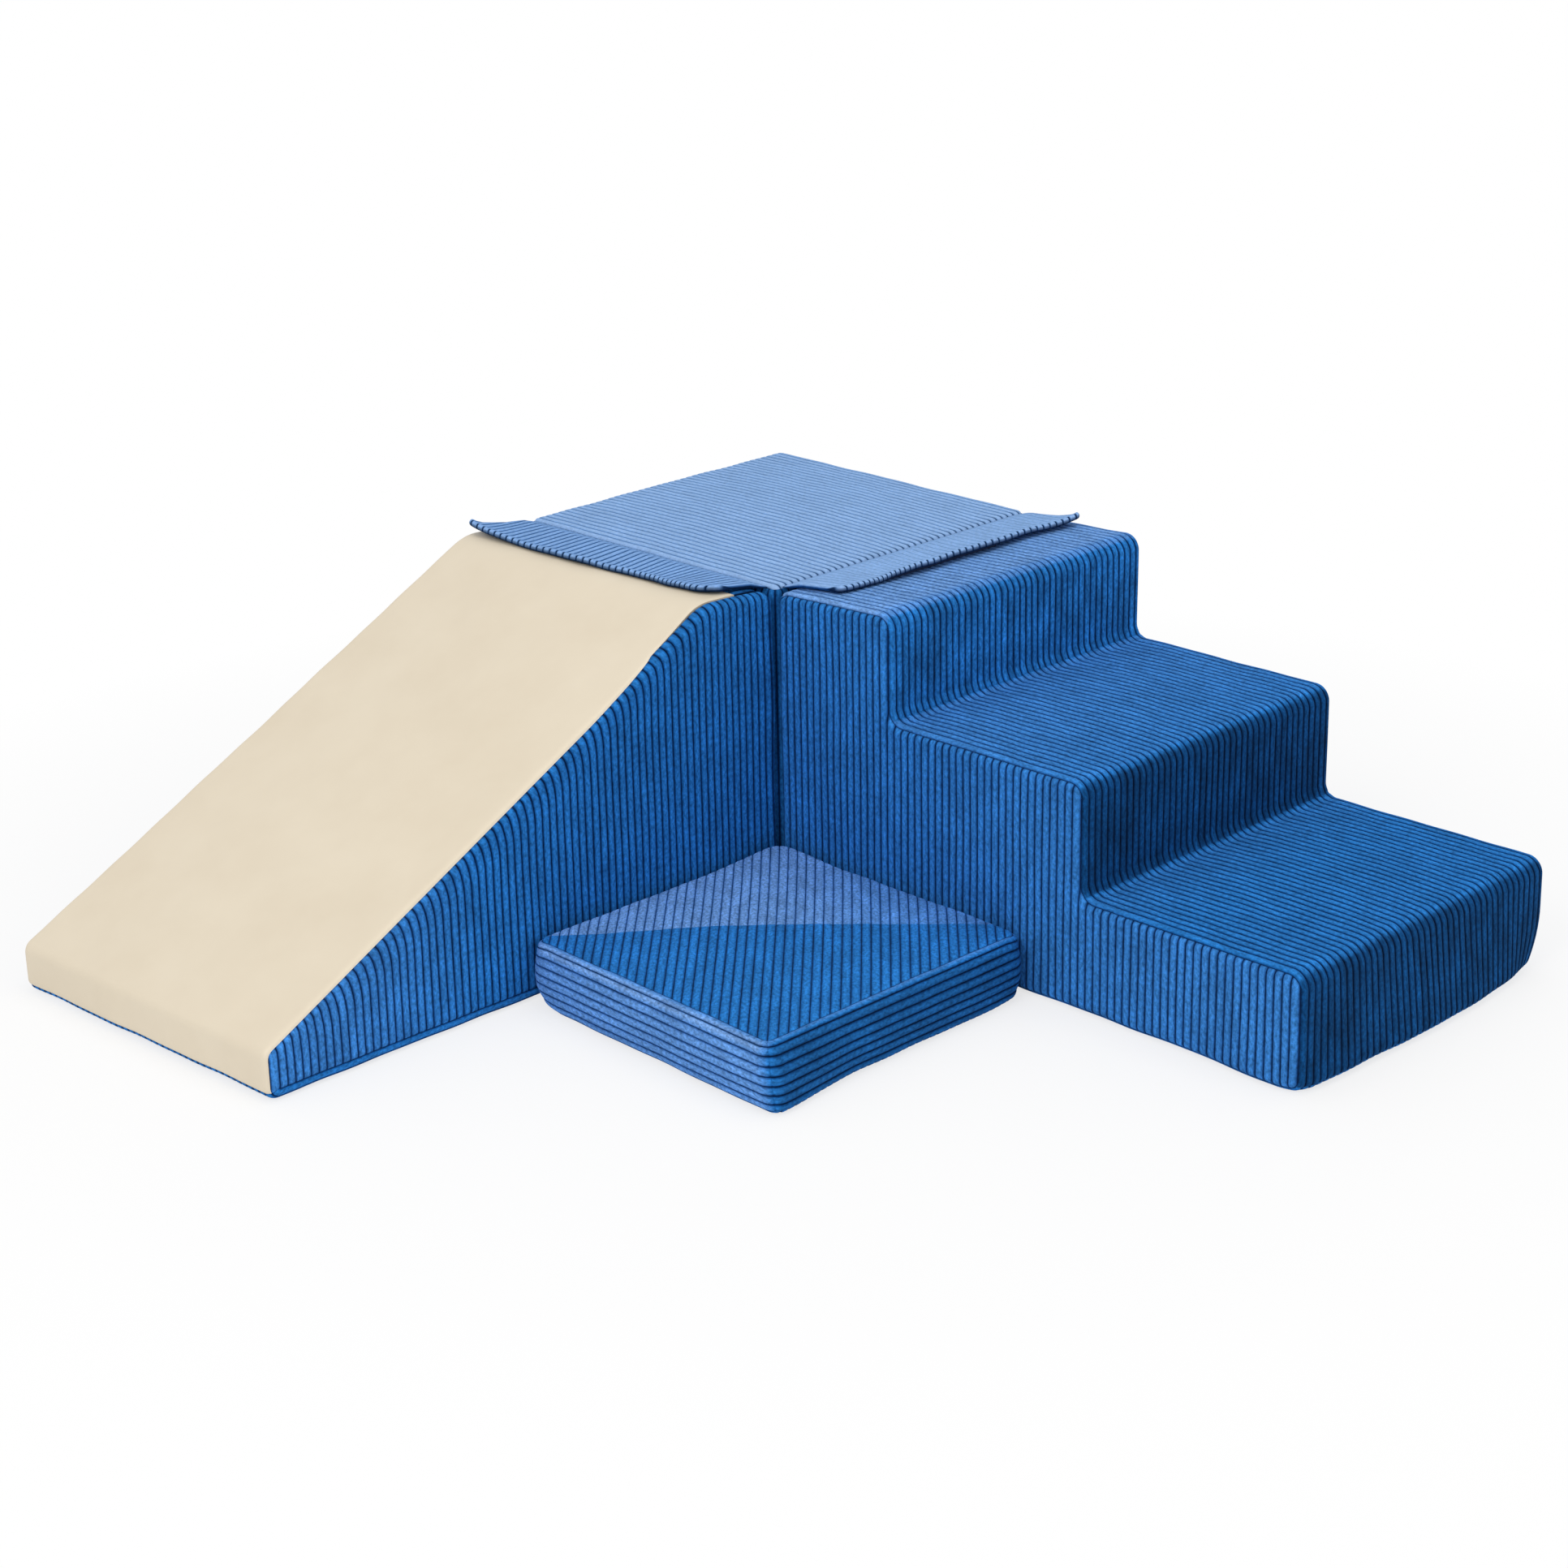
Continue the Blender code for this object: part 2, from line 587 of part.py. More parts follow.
def build_mat():
    """The plan's third corner is the inner one; the band's ends meet at the front one."""
    home = CORNER + Vector((MAT_GAP, -MAT_GAP - MAT_WIDTH, 0))
    frame = axes(home, X, Y, Z)
    module = body("mat_module", home)
    plan = box_outline(0, 0, MAT_WIDTH, MAT_WIDTH, CORNER_ROUND, ("slide_end", "front", "steps_end", "inner"))
    cloth = looks["corduroy"]
    core = [placed(frame, plan.ring(FOAM_INSET), FOAM_INSET)]
    core += domed(plan, frame, MAT_HEIGHT - FOAM_INSET, FOAM_INSET, MAT_CROWN, 1)
    loft("mat_foam_core", core, looks["foam"], module)
    face_panel("mat_top_panel", plan, frame, MAT_HEIGHT, 1, cloth, MAT_CROWN, module)
    face_panel("mat_base_panel", plan, frame, 0, -1, cloth, parent=module)
    band = strip("mat_side_band", plan, "front", "front", frame, MAT_HEIGHT, cloth, bulge=MAT_BULGE, parent=module)
    zip_start = home + Vector((0, ZIP_END_MARGIN, ZIP_HEIGHT))
    zip_closure("mat", band, axes(zip_start, Y, Z, -X), MAT_WIDTH - 2 * ZIP_END_MARGIN, module)
    return module


def build_flaps(slide_module, steps_module):
    seat = BLOCK_HEIGHT - FLAP_SEAT
    slide_seam = CORNER + Vector((0, FLAP_SEAT, seat))
    steps_seam = CORNER + Vector((-FLAP_SEAT, 0, seat))
    flap_with_tapes("slide_flap", slide_seam, -X, -Y, SLIDE_TOP_TILT, "slide", slide_module)
    flap_with_tapes("steps_flap", steps_seam, Y, X, STEPS_TOP_TILT, "steps", steps_module)


clear_scene()
looks = {
    "corduroy": material("blue_corduroy", (0.026, 0.141, 0.456), 0.9),
    "sheet": material("beige_coated_sheet", (0.807, 0.708, 0.558), 0.5),
    "foam": material("white_foam", (0.86, 0.85, 0.80), 0.95),
    "tape": material("navy_tape", (0.010, 0.028, 0.090), 0.9),
    "zip": material("navy_nylon", (0.008, 0.022, 0.075), 0.6),
    "metal": material("nickel", (0.62, 0.62, 0.60), 0.3, 1),
}
build_block()
slide = build_slide()
steps = build_steps()
build_mat()
build_flaps(slide, steps)
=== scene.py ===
"""Looks of the corner climber: ribbed corduroy covers, a smooth slide sheet, two flaps, zips and tapes.

All lengths are in metres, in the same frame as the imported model. Every wale of the corduroy is real
geometry: each cover panel is a closed solid whose outer face carries its wales, and neighbouring panels
meet in a tucked seam.
"""

import math

import bpy
import numpy as np
from mathutils import Matrix, Vector


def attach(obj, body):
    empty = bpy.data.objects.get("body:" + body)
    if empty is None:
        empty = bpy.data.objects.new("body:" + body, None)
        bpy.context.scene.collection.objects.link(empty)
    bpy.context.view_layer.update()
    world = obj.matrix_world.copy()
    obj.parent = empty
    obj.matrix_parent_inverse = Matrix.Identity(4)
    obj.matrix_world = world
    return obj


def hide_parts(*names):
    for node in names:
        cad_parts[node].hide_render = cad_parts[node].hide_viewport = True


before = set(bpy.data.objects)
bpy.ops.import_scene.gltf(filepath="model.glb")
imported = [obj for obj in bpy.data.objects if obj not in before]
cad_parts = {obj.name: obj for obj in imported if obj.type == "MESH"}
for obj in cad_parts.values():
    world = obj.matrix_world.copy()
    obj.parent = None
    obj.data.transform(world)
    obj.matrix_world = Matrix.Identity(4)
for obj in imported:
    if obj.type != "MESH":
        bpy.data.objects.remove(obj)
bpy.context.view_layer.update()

# Modules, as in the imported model
BLOCK_WIDTH = 0.450
BLOCK_HEIGHT = 0.396
BLOCK_CROWN = 0.005
BLOCK_PROUD = 0.003
NEIGHBOUR_HEIGHT = BLOCK_HEIGHT - BLOCK_PROUD
MODULE_GAP = 0.003
SLIDE_LENGTH = 0.760
SLIDE_FLAT = 0.103
SLIDE_LIP = 0.057
SLIDE_CREST_ROUND = 0.070
SLIDE_TOP_TILT = math.radians(3)
SHEET_START = 0.042
TOP_TREAD = 0.180
MIDDLE_TREAD = 0.290
BOTTOM_TREAD = 0.300
STEPS_TOP_TILT = math.radians(2.5)
STEP_RISE = 0.136
TREAD_CROWN = 0.003
INNER_CORNER_ROUND = 0.016
MAT_WIDTH = 0.398
MAT_HEIGHT = 0.080
MAT_GAP = 0.007
MAT_CROWN = 0.004
MAT_BULGE = 0.0035

# Places: the inner corner, where the block meets the slide and the steps, and the mat's corner by the slide
X = np.array((1.0, 0, 0))
Y = np.array((0, 1.0, 0))
Z = np.array((0, 0, 1.0))
STEPS_LENGTH = TOP_TREAD + MIDDLE_TREAD + BOTTOM_TREAD
CORNER = np.array((
    (BLOCK_WIDTH - MODULE_GAP - STEPS_LENGTH) / 2,
    (MODULE_GAP + SLIDE_LENGTH - BLOCK_WIDTH) / 2,
    0,
))
MAT_HOME = CORNER + np.array((MAT_GAP, -MAT_GAP - MAT_WIDTH, 0))

# Cover panels and their seams
COVER = 0.005
FOAM_EASE = 0.0032
SEAM_SINK = 0.0035
SEAM_ANGLE = math.radians(45)
EDGE_ROUND = SEAM_SINK / (1 - math.cos(SEAM_ANGLE))
CORNER_ROUND = EDGE_ROUND + 0.003
NOSING_ROUND = EDGE_ROUND + 0.008
TOE_ROUND = EDGE_ROUND + 0.004
SEAM_TUCK = 0.0014
SEAM_TUCK_RUN = 0.0021
SEAM_FADE_RUN = 0.0009
# How dark the painted shade along a seam's tuck is
SEAM_SHADE = 0.75
BASE_BAND = 0.0135
MAT_TOP_SEAM = 0.0125
MAT_CORNER_ROUNDS = (0.0235, 0.0195, 0.0235, 0.028)
SLIDE_TOP_WRAP = 0.005
TOE_SEAM_SHARE = 0.68
SQUARENESS = 9
POCKET_RIM = 0.0006

# How far the covers are drawn in or spread, and over what distances
TOE_DRAW = 0.006
TOE_SKEW = 0.018
STEPS_NEAR_SPREAD = 0.007
STEPS_NEAR_REACH = 0.16
STEPS_HOLD = 0.9
STEPS_HOLD_REACH = 0.032
STEPS_HOLD_HEIGHT = 0.05
STEPS_END_SPREAD = 0.016
STEPS_END_RUN = 0.14
STEPS_SIDE_SPREAD = 0.006
STEPS_FAR_DRAWS = np.array((0.006, 0.016))
STEPS_FAR_RUN = 0.08
STEPS_FAR_HEIGHT = 0.075
MAT_DRAWS = ((0, 0, 0.002, 0.009), (1, 1, 0.002, 0.004), (0, 1, 0.003, 0.003))
MAT_DRAW_REACH = 0.055
MAT_DRAW_HEIGHT = 0.028
MAT_DRAW_FALL = 1.3
MAT_SPREAD = 0.012
MAT_SPREAD_REACH = 0.14
MAT_LIFT = 0.006
MAT_LIFT_REACH = 0.13

# Corduroy
PITCH = 0.0106
GROOVE = 0.0021
WALE_STEPS = np.array((0, 0.045, 0.1, 0.2, 0.35, 0.5, 0.65, 0.8, 0.9, 0.955))
WALE_BROADNESS = 4.5
CREST_SHARE = 0.6
GROOVE_FADE = 0.3
WOBBLE = 0.0004

# Steps and tolerances of the meshes
END_STEPS = np.array((0, 0.0006, 0.0014, 0.0025, 0.0042, 0.0066, 0.0095, 0.0135))
END_ROOM = 2.5
ROW_STEP = 0.009
ARC_STEPS = 12
CROSS_STEP = 0.016
SHEET_SPANS = 24
FACE_ROW_STEP = 0.011
FACE_EDGE = 0.0002
STEP_SPANS = 8
SHARP_ANGLE = math.radians(62)
CLOSEST = 1e-4
WELD = 2e-5
HAIR = 1e-6
ON_EDGE = 1e-9
TINY = 1e-12
FAR_OFF = 9
SAMPLE_FACES = 200
CHUNK = 4000

# Zips
ZIP_HEIGHT = 0.026
ZIP_END_MARGIN = 0.040
ZIP_POCKET_HEIGHT = 0.012
ZIP_POCKET_DEPTH = 0.0033
ZIP_GAP = 0.0003
ZIP_SPAN = (ZIP_HEIGHT - ZIP_POCKET_HEIGHT / 2, ZIP_HEIGHT + ZIP_POCKET_HEIGHT / 2)
ZIP_TAPE = 0.0008
ZIP_REACH = 0.040
ZIP_ROW_STEP = 0.004
ZIP_TAPE_COLUMNS = np.array((-1, -0.85, -0.5, -0.06, 0.06, 0.5, 0.85, 1))
ZIP_RIB = 0.00008
ZIP_RIB_PITCH = 0.0024
ZIP_RIB_START = 0.002
TOOTH_PITCH = 0.0022
TOOTH_WIDTH = 0.0026
TOOTH_RISE = 0.0008
TOOTH_OFFSET = 0.0006
TOOTH_HALF_SPAN = 0.22
TOOTH_ROOT = 0.8
TOOTH_TOP = 0.6
TOOTH_SHOULDER = 0.55

# Flaps, and the hook and loop tapes under them
TAPE_STACK = 0.0029
FLAP_ROOT = 0.0018
FLAP_SEAT = EDGE_ROUND - (EDGE_ROUND + FLAP_ROOT + ZIP_GAP) / math.sqrt(2)
FLAP_WIDTH = 0.090
FLAP_LENGTH = 0.410
FLAP_THICKNESS = 0.005
FLAP_NEAR_INSET = 0.015
FLAP_NEAR_SLANT = 0.018
FLAP_TAPER = 0.012
FLAP_TAPER_RUN = 0.160
FLAP_RISE = FLAP_SEAT - BLOCK_PROUD + TAPE_STACK + FLAP_THICKNESS / 2
FLAP_RISE_RUN = 0.026
FLAP_CURL_RUN = 0.115
FLAP_NEAR_RUN = 0.040
FLAP_CORNER_ROUND = 0.010
FLAP_LEAN = 0.30
FLAP_FAR_LEAN = 0.12
FLAP_FAN_RUN = 0.170
FLAP_BEAD = 0.0014
FLAP_BEAD_RUN = 0.004
FLAP_GROOVE = 0.0015
FLAP_NOTCH = 0.0022
FLAP_BLOTCH = 0.4
FLAP_ROOT_RUN = 0.010
FLAP_CUT_THINNEST = 0.3
# Painted shade in the notches of the rolled edge, a painted shadow under the bead, and painted shade on the
# underside
FLAP_NOTCH_EDGE = 0.96
FLAP_NOTCH_SHADE = 0.9
FLAP_SHADOWS = np.array((0.65, 0.35))
FLAP_UNDER_SHADE = 1.2
FLAP_UNDER_FACING = -0.9
FLAP_TOP_SHARES = np.concatenate((np.linspace(0, 0.86, 19), np.linspace(0.89, 1, 7)))
FLAP_UNDER_SHARES = np.concatenate((np.linspace(1, 0.9, 4), np.linspace(0.75, 0, 6)))
FLAP_ROLL_ANGLES = np.linspace(0, math.pi, 11)[1:-1]
FLAP_FAN_ROUNDS = 8
FLAP_COLUMNS = 931
# A flap's tone is painted sheen, about as pale as the block's top
SLIDE_FLAP = {
    "tone": 0.84, "ribs": 1.4, "flare": 0.019, "widening": 0.008, "tip": 0.003, "curl": 0.0072, "lift": 0,
    "near_lift": 0.004, "near_round": 0.024, "waves": ((0.0004, 0.120, 0.4), (0.0003, 0.061, 2.0)),
}
STEPS_FLAP = {
    "tone": 0.92, "ribs": 0.30, "flare": 0.011, "widening": 0, "tip": 0.010, "curl": 0.0070, "lift": 0.005,
    "near_lift": 0, "near_round": FLAP_CORNER_ROUND, "waves": ((0.0004, 0.110, 0.4), (0.0003, 0.057, 2.0)),
}

# Stretches over which something changes: where each starts, and its run; a negative run goes backward
SLIDE_LOW_PART = (0.15, 0.20)
SLIDE_PULL_START = (0.06, 0.12)
SLIDE_PULL_END = (0.755, -0.12)
SLIDE_PULL_FLOOR = (BASE_BAND, 0.05)
SLIDE_WRAP_END = (0.040, 0.260)
SLIDE_WRAP_FLOOR = (0.12, 0.16)
SLIDE_TOE_LIGHT = (0.25, 0.45)
RISER_FACING = (0.45, 0.4)
TOP_TREAD_END = (0.150, 0.045)
MAT_BACK_END = (0.26, 0.25)
MAT_FRONT_SIDES = (-0.02, 0.06)
BLOCK_FLAP_CREASES = (0.008, 0.016)
BLOCK_CORNER_CREASES = (0.020, 0.050)
BLOCK_CORNER_SHADE = (0.018, 0.02)
FLAP_ROLL = (0.93, 0.07)
FLAP_WIDENING = (0.09, 0.20)
FLAP_LIFT = (0.03, 0.10)
FLAP_SHADOW = (0.65, -0.5)
FLAP_DEEP_SHADOW = (-0.1, -0.4)

# The slide's wales are pulled downhill by this much beside its slope, and within this run of it
SLIDE_PULL = 0.007
SLIDE_LOW_PULL = 0.004
SLIDE_PULL_RUN = 0.026
SLIDE_LOW_PULL_RUN = 0.016
SLIDE_CREST_END = 0.2

# Where the nap of the mat's top turns over
NAP_BORDER = -0.0286
NAP_BORDER_BEND = 0.0165
NAP_BORDER_RUN = 0.28
NAP_BORDER_FRAY = 0.0022

# How strongly the tops show their ribs, blotches, and the painted shade of folds and grooves
BLOCK_RIBS = 0.75
BLOCK_BLOTCH = 0.35
BLOCK_CREASE_SHADE = 0.65
BLOCK_CREASE_EDGE = 0.98
BLOCK_CORNER_CREASE_SHADE = 0.7
MAT_RIBS = 0.64
STEPS_BLOTCH = 0.9
RISER_BLOTCH_GAIN = 1.1

# Stage
WHITE = (1, 1, 1, 1)
FLOOR_HALF = 40
FLOOR_LEVEL = -0.0006
SKY_STRENGTH = 0.62

# Nap tones, from -1 for the darkest to 1 for the palest, and their changes over a panel. The tones are
# painted sheen
# and shade: paler on tops that face up, darker on sides turned from the light, near the inner corner and low
# down
BLOCK_TOP_TONE = 1.0
BLOCK_CORNER_SHADE_TONE = -0.45
SLIDE_OUTER_TONE = -0.05
SLIDE_INNER_TONE = -0.12
SLIDE_TOE_GAIN = 0.26
STEPS_SIDE_TONE = 0.04
STEPS_SIDE_GAIN = 0.08
TREAD_TONE = 0.17
TREAD_LOW_LOSS = 0.22
TREAD_TOP_GAIN = 0.50
RISER_LOSS = 0.20
RISER_LOW_LOSS = 0.78
MAT_BACK_TONE = 0.64
MAT_BACK_LOSS = 0.25
MAT_FRONT_TONE = -0.02
MAT_FRONT_GROOVE = 0.22
BAND_SLIDE_GAIN = 0.55
BAND_STEPS_LOSS = 0.6
BAND_TOP_GAIN = 0.35
BAND_TOP_FACING = 0.9

# Camera, fitted to the photo's corners; its place is in block widths from the inner corner
SENSOR = 36
PHOTO_PIXELS = 1932
FOCAL_PIXELS = 3938.3
CAMERA_AZIMUTH = math.radians(45.9049)
CAMERA_ELEVATION = math.radians(20.6659)
CAMERA_ROLL = math.radians(-1.1542)
VIEWPOINT = BLOCK_WIDTH * np.array((5.7152, -5.5184, 3.3338))
VIEW_END = 200


def unit(vector):
    return vector / np.linalg.norm(vector)


def smooth(share):
    share = np.clip(share, 0, 1)
    return share * share * (3 - 2 * share)


def past(place, start, run):
    """How far a place is past a start, smoothly from 0 to 1 over a run; a negative run looks backward."""
    return smooth((place - start) / run)


def toward(place, end, run):
    """How far a place is on its way to an end, smoothly from 0 to 1 over the last run before it."""
    return smooth((place - end + run) / run)


def within(distance, reach):
    """How near a place is, smoothly from 1 at no distance to 0 at the reach."""
    return smooth(1 - distance / reach)


def fading(height, top):
    """1 at the bottom and 0 from the top up."""
    return np.clip(1 - height / top, 0, 1)


def in_groove(pile, edge, most=1):
    """How far the pile is below an edge near the top of a wale, as a share of the grooves' fade."""
    return np.clip((edge - pile) / GROOVE_FADE, 0, most)


def bell(distance, run):
    return np.exp(-(distance / run) ** 2)


def axes(origin, along, across, out):
    """A frame as (origin, 3x3 whose rows are its axes)."""
    return np.array(origin, float), np.array((along, across, out), float)


def place(at, a, b, c):
    """World points of coordinates in a frame, for arrays of any equal shape."""
    origin, rows = at
    return origin + np.stack((a, b, c), axis=-1) @ rows


def turn(at, a, b, c):
    """World directions of coordinates in a frame."""
    return np.stack((a, b, c), axis=-1) @ at[1]


class Profile:
    """A closed counter-clockwise outline of rounded corners (name, a, b, round).

    A corner's mark, where a seam can cross the outline, lies midway on its arc, or at another share of it.
    The edges that start at the swollen corners take a panel's crown.
    """

    def __init__(self, corners, mark_shares=None, swollen=()):
        arcs = []
        for i, (name, a, b, radius) in enumerate(corners):
            here = np.array((a, b), float)
            arrive = unit(here - np.array(corners[i - 1][1:3]))
            leave = unit(np.array(corners[(i + 1) % len(corners)][1:3]) - here)
            angle = math.atan2(arrive[0] * leave[1] - arrive[1] * leave[0], arrive @ leave)
            side = math.copysign(radius, angle)
            start = here - arrive * radius * math.tan(abs(angle) / 2)
            normal = np.array((-arrive[1], arrive[0]))
            centre = start + normal * side
            turns = angle * np.linspace(0, 1, ARC_STEPS + 1 if radius else 1)
            inward = np.stack((
                normal[0] * np.cos(turns) - normal[1] * np.sin(turns),
                normal[0] * np.sin(turns) + normal[1] * np.cos(turns),
            ), axis=-1)
            arcs.append((name, centre - inward * side, inward))
        points, inwards, swells, self.marks = [], [], [], {}
        count = 0
        for i, (name, arc, inward) in enumerate(arcs):
            gap = arcs[(i + 1) % len(arcs)][1][0] - arc[-1]
            length = np.linalg.norm(gap)
            spans = max(1, round(length / ROW_STEP))
            shares = np.arange(1, spans) / spans
            edge = arc[-1] + gap * shares[:, None]
            across = np.array((-gap[1], gap[0])) / max(length, HAIR)
            self.marks[name] = count + round((len(arc) - 1) * (mark_shares or {}).get(name, 0.5))
            points += [arc, edge]
            inwards += [inward, np.tile(across, (len(edge), 1))]
            swells += [np.zeros(len(arc)), 4 * shares * (1 - shares) * (name in swollen)]
            count += len(arc) + len(edge)
        self.swell = np.concatenate(swells)
        self.points = np.concatenate(points)
        self.inward = np.concatenate(inwards)

    def stations(self, first, last):
        count = (self.marks[last] - self.marks[first]) % len(self.points) or len(self.points)
        return (self.marks[first] + np.arange(count + 1)) % len(self.points)

    def ring(self, seams):
        """The seam round a face, from stretches (first mark, last mark, inset or inset at a point)."""
        stretches = []
        for first, last, inset in seams:
            chosen = self.stations(first, last)
            insets = inset(self.points[chosen])[:, None] if callable(inset) else inset
            stretches.append(self.points[chosen] + self.inward[chosen] * insets)
        return np.concatenate(stretches)


def merged(places, extra):
    """Places and some extra ones in order, with none closer together than a tenth of a millimetre."""
    together = np.union1d(places, extra)
    kept = together[np.concatenate(((True,), np.diff(together) > CLOSEST))]
    kept[-1] = together[-1]
    return kept


def wale_pile(phase):
    """How high the pile stands at a place counted in wales: broad ribs between narrow grooves."""
    return (1 - np.abs(2 * (phase % 1) - 1) ** WALE_BROADNESS) ** 0.5


def wales(low, high, extra=()):
    """Places across whole wales from low to high, and how high the pile stands at each."""
    count = max(1, round((high - low) / PITCH))
    steps = np.concatenate([k + WALE_STEPS for k in range(count)] + [np.array((count,))])
    places = merged(low + steps * (high - low) / count, extra)
    return places, wale_pile((places - low) * count / (high - low))


def graded(low, high, spans, low_end=True, high_end=True):
    """Rows from low to high for each column, closer together next to a seam."""
    low, high = np.broadcast_arrays(np.atleast_1d(low), np.atleast_1d(high))
    length = high - low
    share = np.minimum(1, length / (END_ROOM * END_STEPS[-1]))
    first = END_STEPS[:, None] * share if low_end else np.zeros((1, len(length)))
    last = length - (END_STEPS[::-1, None] * share if high_end else np.zeros((1, len(length))))
    inside = first[-1] + (last[0] - first[-1]) * np.arange(1, spans)[:, None] / spans
    return low + np.concatenate((first, inside, last))


def wobble(points):
    """A slow unevenness of stretched cloth over foam, from waves in radians per metre."""
    x, y, z = (points[..., i] for i in range(3))
    return WOBBLE * (
        np.sin(31 * x + 17 * y + 1.3) * np.cos(27 * z - 12 * x + 0.4)
        + 0.7 * np.sin(53 * y - 21 * z + 2.1) * np.cos(41 * x + 9 * z)
        + 0.5 * np.sin(83 * (x + y) + 35 * z)
    )


def dressed(base, normals, pile, seam, tone=0, blotch=1, crease_shade=0, relief=GROOVE):
    """The outer face with its grooves and tucked seams, and its nap: tone, blotches and painted shade in
    folds.
    """
    closeness = bell(seam, SEAM_TUCK_RUN)
    lift = wobble(base) - relief * (1 - pile) * (1 - closeness) - SEAM_TUCK * closeness
    tones = tone(base, normals, pile) if callable(tone) else tone
    crease_shades = crease_shade(base, pile) if callable(crease_shade) else crease_shade
    # Painted shade along the seams' tucks, lighter on the crests
    crease_shades = np.maximum(crease_shades, SEAM_SHADE * bell(seam, SEAM_FADE_RUN) * (1 - CREST_SHARE * pile))
    blotches = blotch(normals) if callable(blotch) else blotch
    nap = np.stack(np.broadcast_arrays(tones, blotches, crease_shades + 0 * seam), axis=-1)
    return base + normals * lift[..., None], nap


def squared(points, first, second):
    """Covers are squeezed square along an upright inner edge; first and second point off its two faces."""
    u, v = (EDGE_ROUND - (points - CORNER) @ way for way in (first, second))
    near = (u > 0) & (v > 0)
    u, v = (np.where(near, x, 1) for x in (u, v))
    grow = np.hypot(u, v) / (u ** SQUARENESS + v ** SQUARENESS) ** (1 / SQUARENESS) - 1
    return points - near[:, None] * (first * (u * grow)[:, None] + second * (v * grow)[:, None])


def soften_slide(points):
    """The toe is cut a little askew: the module is longer on its outer side."""
    x, y, _ = (points - CORNER).T
    moved = points.copy()
    moved[:, 1] += np.clip(-y / SLIDE_LENGTH, 0, 1) ** 2 * (TOE_DRAW + TOE_SKEW * x / BLOCK_WIDTH)
    return moved


def soften_steps(points):
    """The lowest step spreads on the floor, and its far lower corner is drawn in."""
    x, y, z = (points - CORNER).T
    across = y / BLOCK_WIDTH
    spread = fading(z, STEP_RISE)
    corner = np.hypot(x - STEPS_LENGTH, y)
    held = STEPS_HOLD * within(corner, STEPS_HOLD_REACH) * fading(z, STEPS_HOLD_HEIGHT)
    near = within(corner, STEPS_NEAR_REACH) * spread - held
    middle = toward(x, STEPS_LENGTH, STEPS_END_RUN) * np.clip(across * (1 - across) * 4, 0, 1)
    far = toward(y, BLOCK_WIDTH, STEPS_FAR_RUN) * toward(x, STEPS_LENGTH, STEPS_FAR_RUN)
    far = far * fading(z, STEPS_FAR_HEIGHT) ** 2
    moved = points.copy()
    moved[:, 0] += STEPS_NEAR_SPREAD * near + STEPS_END_SPREAD * middle * spread - STEPS_FAR_DRAWS[0] * far
    moved[:, 1] += (STEPS_SIDE_SPREAD * smooth(x / STEPS_LENGTH) * y / BLOCK_WIDTH
                    - STEPS_NEAR_SPREAD * near - STEPS_FAR_DRAWS[1] * far)
    return moved


def soften_mat(points):
    """Three corners are drawn in, the front one is pulled along the steps and spreads, the inner one rises.

    A draw is (side across, side along, how far at the top, how far at the floor). The zip doesn't rise.
    """
    a, b, z = (points - MAT_HOME).T
    low = fading(z, MAT_DRAW_HEIGHT) ** MAT_DRAW_FALL
    moved = points.copy()
    for side_a, side_b, high_draw, low_draw in MAT_DRAWS:
        near = within(np.hypot(a - MAT_WIDTH * side_a, b - MAT_WIDTH * side_b), MAT_DRAW_REACH)
        draw = near * (high_draw + (low_draw - high_draw) * low)
        moved[:, 0] += draw * (1 - 2 * side_a)
        moved[:, 1] += draw * (1 - 2 * side_b)
    moved[:, 0] += MAT_SPREAD * within(np.hypot(MAT_WIDTH - a, b), MAT_SPREAD_REACH) * fading(z, MAT_HEIGHT)
    moved[:, 1] -= MAT_SPREAD * np.clip(a / MAT_WIDTH, 0, 1) * fading(b, MAT_WIDTH)
    lifted = np.clip((z - ZIP_REACH) / (MAT_HEIGHT - ZIP_REACH), 0, 1)
    moved[:, 2] += MAT_LIFT * within(np.hypot(a, MAT_WIDTH - b), MAT_LIFT_REACH) * lifted
    return moved


SOFTEN = {"slide_module": soften_slide, "steps_module": soften_steps, "mat_module": soften_mat}


def settled(points, body, is_cloth):
    """Points of a piece where its module's cover has given way, and its cloth is squeezed square."""
    points = SOFTEN[body](points) if body in SOFTEN else points
    if is_cloth and body == "slide_module":
        points = squared(points + Y * MODULE_GAP, -X, -Y) - Y * MODULE_GAP
    if is_cloth and body == "steps_module":
        points = squared(points - X * MODULE_GAP, X, Y) + X * MODULE_GAP
    return points


def quads_of(grid):
    """The faces between neighbouring points of a grid of point numbers."""
    return np.stack((grid[:-1, :-1], grid[1:, :-1], grid[1:, 1:], grid[:-1, 1:]), axis=-1).reshape(-1, 4)


